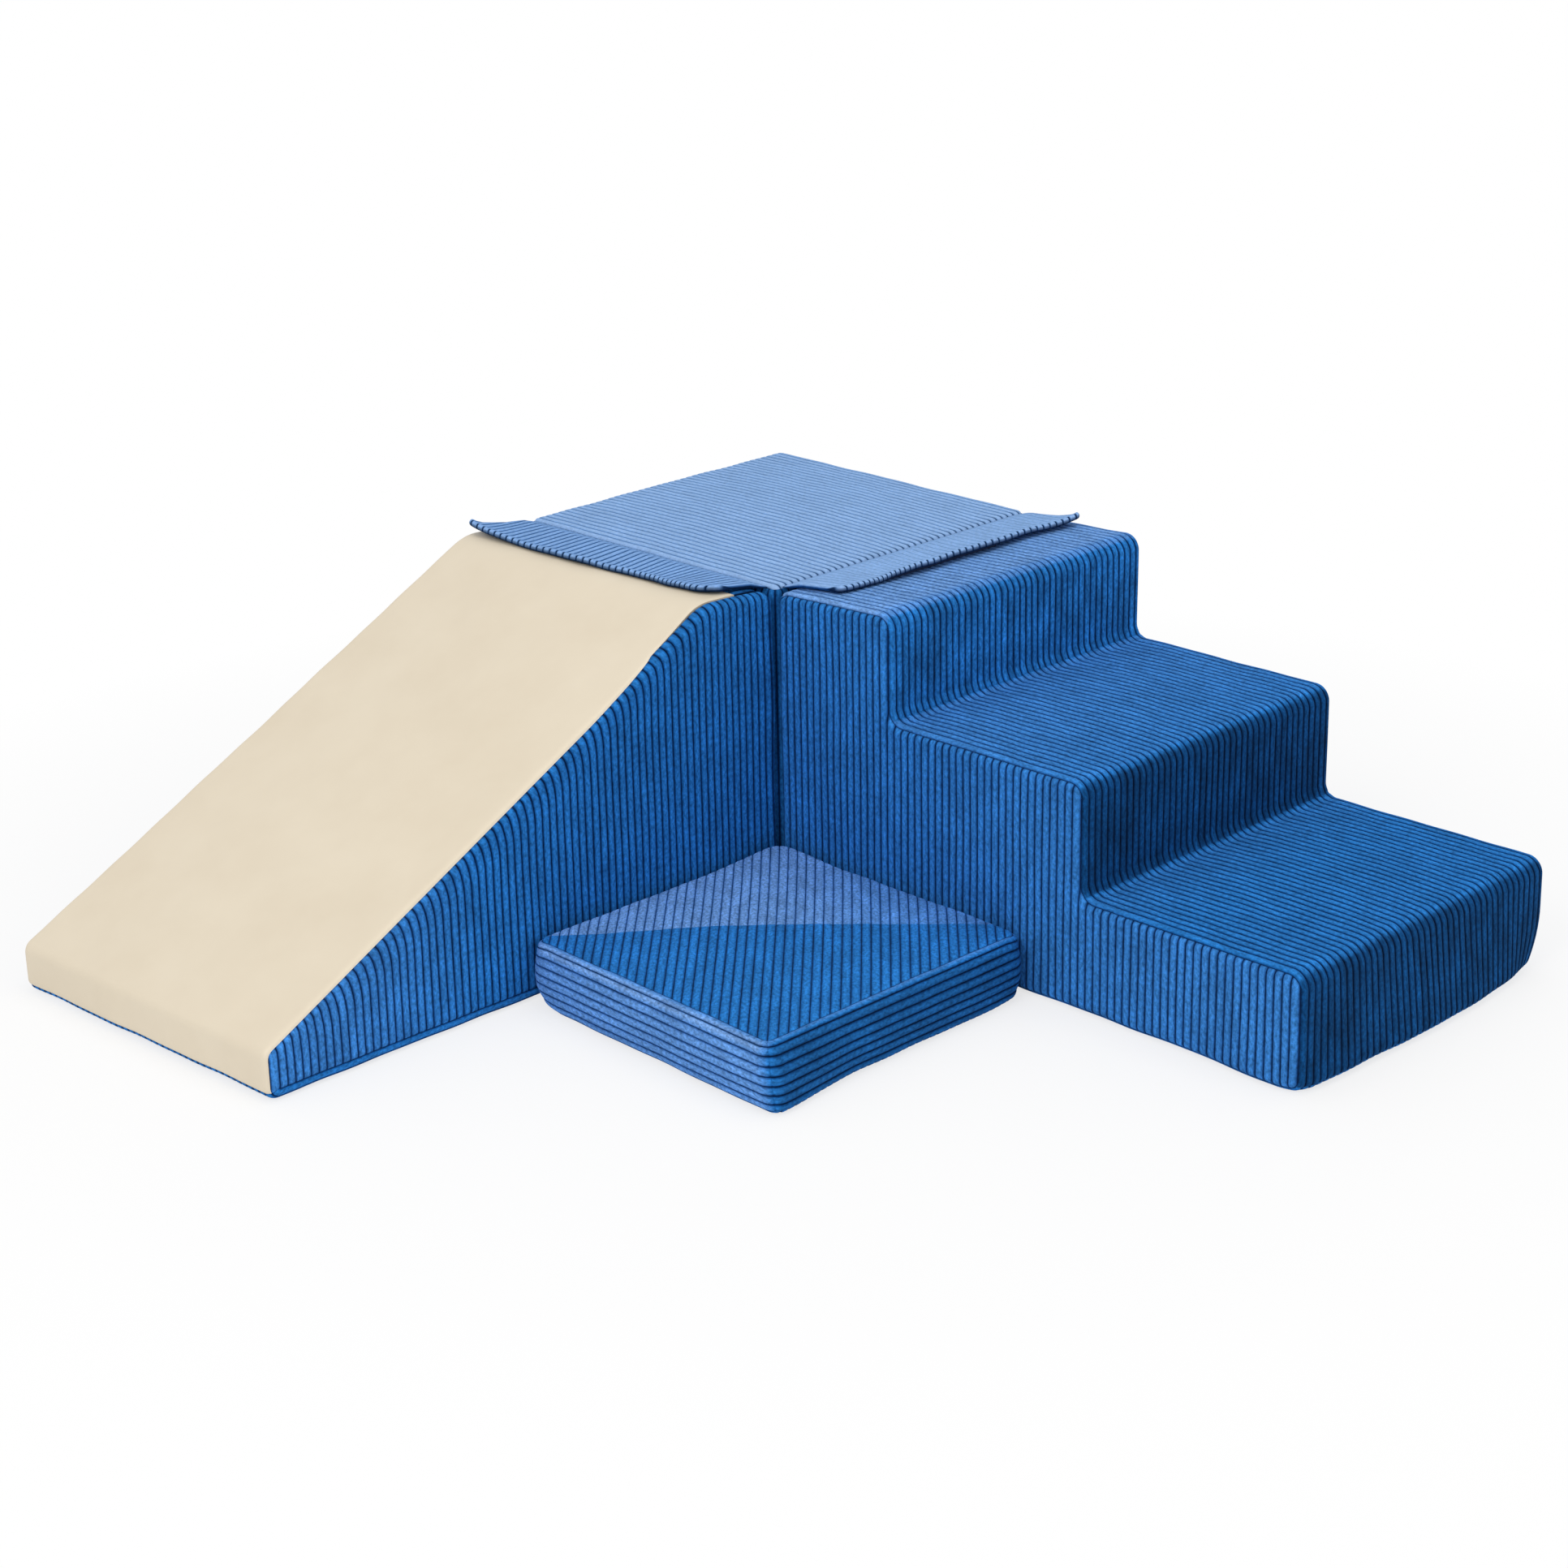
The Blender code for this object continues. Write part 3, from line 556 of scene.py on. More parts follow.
def closed_grid(outer, inner, kept):
    """Points and faces of a solid between an outer grid and an inner one that keeps only some columns."""
    rows, cols = outer.shape[:2]
    base = rows * cols
    wide = len(kept)
    out = np.arange(base).reshape(rows, cols)
    back = base + np.arange(rows * wide).reshape(rows, wide)
    faces = quads_of(out).tolist() + quads_of(back)[:, (0, 3, 2, 1)].tolist()
    faces += np.stack((out[:-1, 0], back[:-1, 0], back[1:, 0], out[1:, 0]), axis=-1).tolist()
    faces += np.stack((out[:-1, -1], out[1:, -1], back[1:, -1], back[:-1, -1]), axis=-1).tolist()
    for k in range(wide - 1):
        low, high = kept[k], kept[k + 1]
        faces.append([*out[0, low:high + 1].tolist(), int(back[0, k + 1]), int(back[0, k])])
        faces.append([*out[-1, low:high + 1].tolist()[::-1], int(back[-1, k]), int(back[-1, k + 1])])
    return np.concatenate((outer.reshape(-1, 3), inner[:, kept].reshape(-1, 3))), faces


def kept_columns(count, slot):
    """The columns that the inner face keeps: one at each groove, or all of them on a smooth panel."""
    return [*range(0, count - 1, len(WALE_STEPS) if slot == "corduroy" else 1), count - 1]


def add_mesh(name, points, faces, look, body, node, cloth=None, nap=None):
    """A mesh object on a body, above the floor.

    Cloth is (across, along, pile) and nap (painted tone, blotch, crease_shade) at each of the first points.
    """
    points[:, 2] = np.maximum(points[:, 2], 0)
    mesh = bpy.data.meshes.new(name)
    mesh.from_pydata(points.tolist(), [], faces)
    for label, given in (("cloth", cloth), ("nap", nap)):
        if given is not None:
            values = np.zeros((len(points), 3), np.float32)
            values[:len(given)] = given
            mesh.attributes.new(label, "FLOAT_VECTOR", "POINT").data.foreach_set("vector", values.ravel())
    mesh.update()
    mesh.shade_smooth()
    mesh.set_sharp_from_angle(angle=SHARP_ANGLE)
    mesh.materials.append(look)
    piece = bpy.data.objects.new(name, mesh)
    bpy.context.scene.collection.objects.link(piece)
    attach(piece, body)
    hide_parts(node)
    return piece


def facing_out(points, faces, normals):
    """The faces, all turned over if most of the first ones look inward."""
    tally = 0
    for face in faces[:SAMPLE_FACES]:
        a, b, c = (points[face[k]] for k in (0, 1, 2))
        tally += np.sign(np.cross(b - a, c - a) @ normals[face[0]])
    return faces if tally > 0 else [face[::-1] for face in faces]


def cover_piece(name, outer, inner, normals, u, w, pile, nap, look, body, slot):
    """One cover panel as a closed solid."""
    verts, faces = closed_grid(outer, inner, kept_columns(outer.shape[1], slot))
    faces = facing_out(verts, faces, normals.reshape(-1, 3))
    cloth = np.stack(np.broadcast_arrays(u, w, pile), axis=-1).reshape(-1, 3)
    verts = settled(verts, body, True)
    piece = add_mesh(name + "_cloth", verts, faces, look, body, name, cloth, nap.reshape(-1, 3))


def seam_turn(inset):
    """How far a strip turns onto the face beside it, and how far it runs on, for a seam's inset in that face.

    The face panel itself wraps over the edge where the inset is negative.
    """
    angle = np.arccos(np.clip(1 - inset / EDGE_ROUND, 0, 1))
    return angle, np.minimum(inset, 0) + np.maximum(inset - EDGE_ROUND, 0)


def across_section(share, width, low, high):
    """Where a strip lies at a share of the way out from its middle, -1 to 1, for its seams' insets.

    It returns the place off its low side, the depth, the normal's two parts, and the length to the seam.
    """
    def half(share, inset):
        angle, run = seam_turn(inset)
        length = run + EDGE_ROUND * angle + width / 2 - EDGE_ROUND
        t = (1 - share) * length
        turned = np.clip(angle - (t - run) / EDGE_ROUND, 0, angle)
        q = EDGE_ROUND * (1 - np.sin(turned)) + np.clip(t - run - EDGE_ROUND * angle, 0, None)
        q = q - np.minimum(run, 0) * (angle == 0)
        depth = EDGE_ROUND * (1 - np.cos(turned)) + np.clip(run - t, 0, None)
        return q, depth, np.sin(turned), np.cos(turned), t

    near, far = half(-share, low), half(share, high)
    flip = (1, 1, -1, 1, 1)
    low_side = [a * k for a, k in zip(near, flip)]
    high_side = [width - far[0], *far[1:]]
    return [np.where(share < 0, a, b) for a, b in zip(low_side, high_side)]


def last_crossing(path, lengths, axis, value):
    """The length along a path where it last crosses a value of one coordinate."""
    k = np.nonzero((path[:-1, axis] - value) * (path[1:, axis] - value) <= 0)[0][-1]
    share = (value - path[k, axis]) / (path[k + 1, axis] - path[k, axis])
    return lengths[k] + share * (lengths[k + 1] - lengths[k])


def strip_panel(name, shape, first, last, at, width, body, look, way="along", crown=0, bulge=0, low=SEAM_SINK,
                high=SEAM_SINK, tone=0, blotch=1, pocket=None, slot="corduroy"):
    """A cover panel that follows a profile from one seam to another, as wide as the module.

    Its wales run along the profile, across it, or not at all. Low and high are the insets of its side seams.
    A pocket is (axis, from, to, lowest and highest place across), where the panel is pressed in for a zip.
    """
    chosen = shape.stations(first, last)
    path, inward = shape.points[chosen], shape.inward[chosen]
    lengths = np.concatenate(((0,), np.cumsum(np.linalg.norm(np.diff(path, axis=0), axis=1))))
    end = lengths[-1]
    insets = [inset(path) if callable(inset) else np.full(len(path), inset) for inset in (low, high)]
    halves = []
    for inset in insets:
        angle, run = seam_turn(inset)
        halves.append((run + EDGE_ROUND * angle).max() + width / 2 - EDGE_ROUND)
    rim_s, rim_t = (), ()
    if pocket:
        axis, start_value, end_value, low_q, high_q = pocket
        s_range = sorted(last_crossing(path, lengths, axis, value) for value in (start_value, end_value))
        t_range = [halves[0] + q - width / 2 for q in (low_q, high_q)]
        rim_s, rim_t = ([r[0], r[0] + POCKET_RIM, r[1] - POCKET_RIM, r[1]] for r in (s_range, t_range))
    if way == "across":
        s, pile = wales(0, end, rim_s)
        t = merged(graded(0, sum(halves), max(3, round(sum(halves) / CROSS_STEP)))[:, 0], rim_t)
        s, t = np.broadcast_arrays(s[None, :], t[:, None])
    else:
        rows = merged(np.union1d(lengths, np.concatenate((END_STEPS, end - END_STEPS))), rim_s)
        if way == "along":
            t, pile = wales(0, sum(halves), rim_t)
        else:
            t = graded(0, sum(halves), SHEET_SPANS)[:, 0]
            pile = np.ones(len(t))
        s, t = np.broadcast_arrays(rows[:, None], t[None, :])
    pile = np.broadcast_to(pile[None, :], s.shape)
    a, b, na, nb, low, high = (
        np.interp(s, lengths, row) for row in (path[:, 0], path[:, 1], inward[:, 0], inward[:, 1], *insets)
    )
    size = np.hypot(na, nb)
    na, nb = na / size, nb / size
    share = (t - halves[0]) / np.where(t < halves[0], halves[0], halves[1])
    q, depth, side, face, from_side = across_section(share, width, low, high)
    swell = np.sin(np.pi * np.clip((q - EDGE_ROUND) / (width - 2 * EDGE_ROUND), 0, 1))
    depth = depth - (crown * np.interp(s, lengths, shape.swell[chosen]) + bulge) * swell
    base = place(at, a + na * depth, b + nb * depth, q)
    normals = turn(at, -na * face, -nb * face, side)
    seam = np.minimum(from_side, np.minimum(s, end - s))
    outer, nap = dressed(base, normals, pile, seam, tone, blotch, relief=GROOVE if way != "none" else 0)
    if pocket:
        pressed = (s > rim_s[0] + HAIR) & (s < rim_s[3] - HAIR)
        pressed = pressed & (t > rim_t[0] + HAIR) & (t < rim_t[3] - HAIR)
        outer = np.where(pressed[..., None], base - normals * ZIP_POCKET_DEPTH, outer)
        # The pressed-in pocket takes the darkest painted shade
        nap[..., 2] = np.where(pressed, 1, nap[..., 2])
    u, w = (t, s) if way != "across" else (s, t)
    cover_piece(name, outer, base - normals * COVER, normals, u, w, pile, nap, look, body, slot)


def nearest_edge(p, polygon):
    """How far each point is inside a closed polygon, and the unit way outward through its nearest edge."""
    a = polygon[None]
    b = np.roll(polygon, -1, axis=0)[None]
    flat = p.reshape(-1, 2)
    distance = np.empty(len(flat))
    direction = np.empty((len(flat), 2))
    for start in range(0, len(flat), CHUNK):
        here = flat[start:start + CHUNK, None]
        share = ((here - a) * (b - a)).sum(-1) / np.maximum(((b - a) ** 2).sum(-1), TINY)
        gap = a + (b - a) * np.clip(share, 0, 1)[..., None] - here
        size = np.sqrt((gap ** 2).sum(-1))
        best = size.argmin(axis=1)
        order = np.arange(len(best))
        gap, size = gap[order, best], size[order, best]
        edge = (b - a)[0, best]
        outward = np.stack((edge[:, 1], -edge[:, 0]), axis=-1)
        side = np.where((gap * outward).sum(-1) < 0, -1.0, 1.0)
        distance[start:start + CHUNK] = size * side
        direction[start:start + CHUNK] = gap * (side / np.maximum(size, ON_EDGE))[:, None]
    return distance.reshape(p.shape[:-1]), direction.reshape(p.shape)


def crossings(u, ring):
    """The lowest and highest w at which each line of constant u crosses a closed ring of (u, w) points."""
    a, b = ring, np.roll(ring, -1, axis=0)
    over = (a[None, :, 0] - u[:, None]) * (b[None, :, 0] - u[:, None]) <= 0
    run = np.where(np.abs(b[:, 0] - a[:, 0]) < TINY, TINY, b[:, 0] - a[:, 0])
    w = a[None, :, 1] + (u[:, None] - a[None, :, 0]) * ((b[:, 1] - a[:, 1]) / run)[None]
    return np.where(over, w, FAR_OFF).min(axis=1), np.where(over, w, -FAR_OFF).max(axis=1)


def on_face(shape, at, level, side, p, crown_of=None):
    """Points and normals of a module's rounded face at places in its plane, or over its edge outside."""
    distance, towards = nearest_edge(p, shape.points)
    sine = np.clip(1 - distance / EDGE_ROUND, 0, 1)
    cosine = np.sqrt(1 - sine * sine)
    over = np.maximum(-distance, 0)
    rise = crown_of(p) if crown_of else 0
    p = p - towards * over[..., None]
    base = place(at, p[..., 0], p[..., 1], level - side * (EDGE_ROUND * (1 - cosine) + over - rise))
    return base, turn(at, towards[..., 0] * sine, towards[..., 1] * sine, side * cosine)


def face_panel(name, shape, at, level, side, body, seams, wale_angle=0, crown_of=None, tone=0, blotch=1,
               crease_shade=0, bend=None, border_of=None, ribs=1):
    """A cover panel as large as a whole convex profile, its wales at an angle in the profile's plane.

    The border is where the nap turns over, and the rows are split there so that it stays crisp.
    """
    ring = shape.ring(seams)
    along = np.array((math.cos(wale_angle), math.sin(wale_angle)))
    across = np.array((-along[1], along[0]))
    ring_u, ring_w = ring @ across, ring @ along
    u, pile = wales(ring_u.min() + FACE_EDGE, ring_u.max() - FACE_EDGE)
    low, high = crossings(u, np.stack((ring_u, ring_w), axis=-1))
    spans = max(3, round((high - low).max() / FACE_ROW_STEP))
    if border_of:
        border = np.clip(border_of(u, pile), low + FACE_EDGE, high - FACE_EDGE)
        w = np.concatenate((graded(low, border - FACE_EDGE / 2, spans // 2, high_end=False),
                            graded(border + FACE_EDGE / 2, high, spans // 2, low_end=False)))
    else:
        w = graded(low, high, spans)
    u = np.broadcast_to(u[None, :], w.shape)
    p = u[..., None] * across + w[..., None] * along
    if bend:
        p = bend(p, ring)
    base, normals = on_face(shape, at, level, side, p, crown_of)
    pile = np.broadcast_to(pile[None, :], w.shape)
    outer, nap = dressed(base, normals, pile, np.abs(nearest_edge(p, ring)[0]), tone, blotch, crease_shade)
    pile = 1 - (1 - pile) * ribs
    cover_piece(name, outer, base - normals * COVER, normals, u, w, pile, nap, CLOTH, body, "corduroy")


def boundary(quads):
    """The loop of points round a patch of faces, the way its faces turn."""
    ways = set(zip(quads.reshape(-1).tolist(), np.roll(quads, -1, axis=1).reshape(-1).tolist()))
    follow = {a: b for a, b in ways if (b, a) not in ways and a != b}
    loop = [min(follow)]
    while follow[loop[-1]] != loop[0]:
        loop.append(follow[loop[-1]])
    return loop


def stepped_panel(name, shape, at, level, side, body, tone=0):
    """The stepped side panel: three blocks of vertical wales, joined below each riser."""
    ring = shape.points + shape.inward * SEAM_SINK
    edges = (ring[:, 0].min() + HAIR, TOP_TREAD - SEAM_SINK, TOP_TREAD + MIDDLE_TREAD - SEAM_SINK,
             ring[:, 0].max() - HAIR)
    pieces = []
    below = None
    for left, right in reversed(list(zip(edges, edges[1:]))):
        u, pile = wales(left, right)
        low, high = crossings(np.clip(u, left + HAIR, right - HAIR), ring)
        if below is None:
            w = graded(low, high, STEP_SPANS)
        else:
            border = below[-1]
            rising = (below[1:-1] - below[0]) / (border - below[0])
            lower = np.concatenate((low[None], low + (border - low) * rising[:, None]))
            upper = graded(np.full(len(u), border), high, STEP_SPANS, low_end=False)
            w = np.concatenate((lower, upper))
        pieces.append((np.broadcast_to(u[None], w.shape), w, np.broadcast_to(pile[None], w.shape)))
        below = w[:, 0]
    verts, faces, inners, cloths, normals, naps = [], [], [], [], [], []
    start = 0
    for u, w, pile in pieces:
        p = np.stack((u, w), axis=-1)
        base, normal = on_face(shape, at, level, side, p)
        outer, nap = dressed(base, normal, pile, np.abs(nearest_edge(p, ring)[0]), tone)
        verts.append(outer.reshape(-1, 3))
        inners.append((base - normal * COVER).reshape(-1, 3))
        normals.append(normal.reshape(-1, 3))
        naps.append(nap.reshape(-1, 3))
        cloths.append(np.stack((u, w, pile), axis=-1).reshape(-1, 3))
        grid = start + np.arange(w.size).reshape(w.shape)
        faces.append(quads_of(grid))
        start += w.size
    cloths = np.concatenate(cloths)
    _, unique, index = np.unique(np.round(cloths[:, :2] / WELD).astype(int), axis=0,
                                 return_index=True, return_inverse=True)
    verts, inners, normals, naps = (np.concatenate(x)[unique] for x in (verts, inners, normals, naps))
    quads = index.reshape(-1)[np.concatenate(faces)]
    loop = boundary(quads)
    back = {v: len(verts) + k for k, v in enumerate(loop)}
    solid = quads.tolist()
    for a, b in zip(loop, loop[1:] + loop[:1]):
        solid.append([b, a, back[a], back[b]])
    solid.append([back[v] for v in loop][::-1])
    verts = np.concatenate((verts, inners[loop]))
    solid = facing_out(verts, solid, normals)
    verts = settled(verts, body, True)
    piece = add_mesh(name + "_cloth", verts, solid, CLOTH, body, name, cloths[unique], naps)


def flap_cloth(name, seam, along, out, tilt, body, tone, ribs, flare, widening, tip, curl, lift, near_lift,
               near_round, waves):
    """A double cloth flap with a rolled outer edge, whose wales fan out from its seam.

    Its columns follow the wales, and its end columns the cut of the cloth. The far corner is drawn out and
    curls up. A wave is (height, length, phase).
    """
    outward = out * math.cos(tilt) + Z * math.sin(tilt)
    at = axes(seam, along, outward, Z * math.cos(tilt) - out * math.sin(tilt))
    near_slope, far_slope = FLAP_NEAR_SLANT / FLAP_WIDTH, flare / FLAP_WIDTH

    def fan(s, far):
        """How far a wale leans along the flap for each step outward, from where it starts at the seam."""
        leaned = near_slope - (near_slope + FLAP_LEAN) * smooth(s / FLAP_FAN_RUN)
        leaned = leaned + (FLAP_LEAN - FLAP_FAR_LEAN) * past(s, FLAP_FAN_RUN, FLAP_LENGTH - FLAP_FAN_RUN)
        return leaned + (far + FLAP_FAR_LEAN) * toward(s, FLAP_LENGTH, FLAP_CURL_RUN)

    at_ends = np.concatenate((END_STEPS[:4], FLAP_LENGTH - END_STEPS[:4]))
    s = merged(np.linspace(0, FLAP_LENGTH, FLAP_COLUMNS), at_ends)
    slope = fan(s, far_slope)
    outer_place = (s + slope * FLAP_WIDTH - FLAP_NEAR_SLANT) / (1 + (flare - FLAP_NEAR_SLANT) / FLAP_LENGTH)
    outer_place = np.clip(outer_place, 0, FLAP_LENGTH)
    far = np.clip((outer_place - FLAP_LENGTH + FLAP_CURL_RUN) / FLAP_CURL_RUN, 0, None)
    near = np.clip((FLAP_NEAR_RUN - outer_place) / FLAP_NEAR_RUN, 0, None)
    half = FLAP_THICKNESS / 2
    from_end = np.minimum(outer_place, FLAP_LENGTH - outer_place)
    corner = np.where(outer_place < FLAP_LENGTH / 2, near_round, FLAP_CORNER_ROUND)
    short = np.clip(corner - from_end, 0, None)
    width = FLAP_WIDTH - FLAP_TAPER * np.clip(1 - outer_place / FLAP_TAPER_RUN, 0, 1) ** 2
    width = width + widening * past(outer_place, *FLAP_WIDENING) + tip * far ** 3
    reach = width - half - corner + np.sqrt(corner ** 2 - short ** 2)
    cut = np.clip(np.minimum(s, FLAP_LENGTH - s) / half, 0, 1)
    cut_round = np.maximum(FLAP_CUT_THINNEST, np.sqrt(1 - (1 - cut) ** 2))

    def level(v):
        """The height of the flap's middle at a place outward from the seam."""
        raised = lift * past(outer_place, *FLAP_LIFT) * (1 - smooth(far))
        raised = raised + near_lift * near ** 2
        raised = raised + curl * far ** 3 * (v / FLAP_WIDTH) ** 2
        ripple = sum(size * np.sin(2 * np.pi * s / length + start) for size, length, start in waves)
        laid = FLAP_RISE * smooth(v / FLAP_RISE_RUN) + raised * (v / FLAP_WIDTH) ** 2
        return laid + ripple * smooth(v / FLAP_WIDTH)

    def thick(v):
        """Half the flap's thickness, with the bead along its outer edge."""
        flat = FLAP_ROOT + (half - FLAP_ROOT) * smooth(v / FLAP_RISE_RUN)
        return (flat + FLAP_BEAD * bell(reach - v, FLAP_BEAD_RUN) * (reach > FLAP_RISE_RUN)) * cut_round

    edge = half + FLAP_BEAD
    zero = 0 * s
    rows = [(v, level(v) + thick(v), zero, zero + 1) for v in (reach * share for share in FLAP_TOP_SHARES)]
    rows += [(reach + edge * cut_round * math.sin(x), level(reach) + edge * cut_round * math.cos(x),
              zero + math.sin(x), zero + math.cos(x)) for x in FLAP_ROLL_ANGLES]
    rows += [(v, level(v) - thick(v), zero, zero - 1) for v in (reach * share for share in FLAP_UNDER_SHARES)]
    rows += [(zero - FLAP_ROOT * cut_round * math.sin(x), zero - FLAP_ROOT * cut_round * math.cos(x),
              zero - math.sin(x), zero - math.cos(x)) for x in FLAP_ROLL_ANGLES[::2]]
    v, h, nv, nh = (np.stack(x) for x in zip(*rows))
    a = s + slope * v
    phase = a
    for _ in range(FLAP_FAN_ROUNDS):
        phase = a - fan(phase, -FLAP_FAR_LEAN) * v
    pile = wale_pile(phase / PITCH)
    on_edge = past(v / reach, *FLAP_ROLL)
    depth = FLAP_GROOVE * min(ribs, 1) * (1 - on_edge) + FLAP_NOTCH * on_edge
    depth = depth * smooth(v / FLAP_ROOT_RUN) * (nh > -0.5)
    sink = depth * (1 - pile) * cut_round + SEAM_TUCK * bell(v, SEAM_TUCK_RUN) * (nh > 0.5)
    points = place(at, FLAP_NEAR_INSET + a, v - nv * sink, h - nh * sink)
    grid = np.arange(v.size).reshape(v.shape)
    faces = quads_of(np.concatenate((grid, grid[:1]))).tolist()
    faces += [grid[:, 0].tolist()[::-1], grid[:, -1].tolist()]
    points = points.reshape(-1, 3)
    faces = facing_out(points, faces, turn(at, 0 * v, nv, nh).reshape(-1, 3))
    shown = np.clip(1 - (1 - pile) * (ribs + (1 - ribs) * on_edge), 0, 1)
    cloth = np.stack((phase, v, shown), axis=-1).reshape(-1, 3)
    # Painted shade in the rolled edge's notches, a painted shadow on the bead's lower half, and painted shade
    # underneath
    notch_shade = on_edge * in_groove(pile, FLAP_NOTCH_EDGE, FLAP_NOTCH_SHADE)
    bead_shadow = FLAP_SHADOWS[0] * past(nh, *FLAP_SHADOW) + FLAP_SHADOWS[1] * past(nh, *FLAP_DEEP_SHADOW)
    bead_shadow = bead_shadow * (nv > 0)
    crease_shades = np.maximum(np.maximum(bell(v, SEAM_FADE_RUN), notch_shade), bead_shadow)
    tones = tone - FLAP_UNDER_SHADE * (nh < FLAP_UNDER_FACING)
    nap = np.stack(np.broadcast_arrays(tones, FLAP_BLOTCH, crease_shades), axis=-1).reshape(-1, 3)
    return add_mesh(name + "_cloth", points, faces, CLOTH, body, name, cloth, nap)


def zip_range(width):
    """Where a zip starts and ends along a side."""
    return ZIP_END_MARGIN, width - ZIP_END_MARGIN


def zip_chain(name, at, width, body):
    """Two tapes with the closed teeth along their middle, in the pocket of a side as wide as given."""
    half = ZIP_POCKET_HEIGHT / 2
    floor = ZIP_GAP - ZIP_POCKET_DEPTH
    start, end = half, width - 2 * ZIP_END_MARGIN - half
    b = ZIP_TAPE_COLUMNS * (half - ZIP_GAP)
    a = np.linspace(start, end, round((end - start) / ZIP_ROW_STEP))
    a, b = np.meshgrid(a, b, indexing="ij")
    ribbing = ZIP_RIB * np.sin(a * 2 * np.pi / ZIP_RIB_PITCH) * (np.abs(b) > ZIP_RIB_START)
    upper = place(at, a, b, floor + ZIP_TAPE + ribbing)
    lower = place(at, a, b, floor + 0 * a)
    points, faces = closed_grid(upper, lower, list(range(a.shape[1])))
    faces = facing_out(points, faces, np.tile(at[1][2], (len(points), 1)))
    middles = np.arange(start + TOOTH_PITCH, end - TOOTH_PITCH, TOOTH_PITCH / 2)
    side = np.where(np.arange(len(middles)) % 2, 1.0, -1.0)
    low = floor + ZIP_TAPE * TOOTH_ROOT
    high = floor + ZIP_TAPE + TOOTH_RISE
    ring = np.array(((-1, -1), (1, -1), (1, 1), (-1, 1)), float)
    shoulder = (1 - TOOTH_SHOULDER) * low + TOOTH_SHOULDER * high
    blocks = []
    for level, spread in ((low, 1.0), (shoulder, 1.0), (high, TOOTH_TOP)):
        along = middles[:, None] + ring[None, :, 0] * spread * TOOTH_PITCH * TOOTH_HALF_SPAN
        over = side[:, None] * TOOTH_OFFSET + ring[None, :, 1] * spread * TOOTH_WIDTH * 0.5
        blocks.append(place(at, along, over, level + 0 * along))
    teeth = np.concatenate(blocks, axis=1).reshape(-1, 3)
    quads = [(0, 3, 2, 1), (8, 9, 10, 11)]
    for layer in (0, 4):
        quads += [(layer + k, layer + (k + 1) % 4, layer + 4 + (k + 1) % 4, layer + 4 + k) for k in range(4)]
    if np.linalg.det(at[1]) < 0:
        quads = [face[::-1] for face in quads]
    for first in range(len(points), len(points) + len(teeth), 12):
        faces += [[first + i for i in face] for face in quads]
    points = settled(np.concatenate((points, teeth)), body, False)
    add_mesh(name + "_coil", points, faces, looks["zip"], body, name)


def nodes_of(name):
    look = bpy.data.materials.new(name)
    look.use_nodes = True
    tree = look.node_tree
    return look, tree, tree.nodes["Principled BSDF"]


def set_inputs(made, **inputs):
    for key, value in inputs.items():
        made.inputs[key.replace("_", " ")].default_value = value
    return made


def node(tree, kind, **inputs):
    return set_inputs(tree.nodes.new(kind), **inputs)


def bump(tree, shader, height, **inputs):
    made = node(tree, "ShaderNodeBump", **inputs)
    tree.links.new(height, made.inputs["Height"])
    tree.links.new(made.outputs["Normal"], shader.inputs["Normal"])


def ramp(tree, source, stops):
    made = tree.nodes.new("ShaderNodeValToRGB")
    while len(made.color_ramp.elements) < len(stops):
        made.color_ramp.elements.new(0.5)
    for element, (position, colour) in zip(made.color_ramp.elements, stops):
        element.position = position
        element.color = (*colour, 1)
    tree.links.new(source, made.inputs["Fac"])
    return made.outputs["Color"]


def mix(tree, share, a, b, kind="MIX"):
    made = tree.nodes.new("ShaderNodeMix")
    made.data_type = "RGBA"
    made.blend_type = kind
    for socket, value in zip((made.inputs[0], made.inputs[6], made.inputs[7]), (share, a, b)):
        if hasattr(value, "is_output"):
            tree.links.new(value, socket)
        else:
            socket.default_value = value if socket == made.inputs[0] else (*value, 1)
    return made.outputs[2]


def arithmetic(tree, kind, *values, clamp=False):
    made = tree.nodes.new("ShaderNodeMath")
    made.operation = kind
    made.use_clamp = clamp
    for socket, value in zip(made.inputs, values):
        if hasattr(value, "is_output"):
            tree.links.new(value, socket)
        else:
            socket.default_value = value
    return made.outputs[0]


def scaled(tree, vector, scale):
    made = node(tree, "ShaderNodeMapping", Scale=scale)
    tree.links.new(vector, made.inputs["Vector"])
    return made.outputs["Vector"]


def noise(tree, vector, scale, detail, roughness):
    made = node(tree, "ShaderNodeTexNoise", Scale=scale, Detail=detail, Roughness=roughness)
    tree.links.new(vector, made.inputs["Vector"])
    return made.outputs["Fac"]


def attribute(tree, name):
    made = tree.nodes.new("ShaderNodeAttribute")
    made.attribute_name = name
    parts = tree.nodes.new("ShaderNodeSeparateXYZ")
    tree.links.new(made.outputs["Vector"], parts.inputs["Vector"])
    return made.outputs["Vector"], parts.outputs


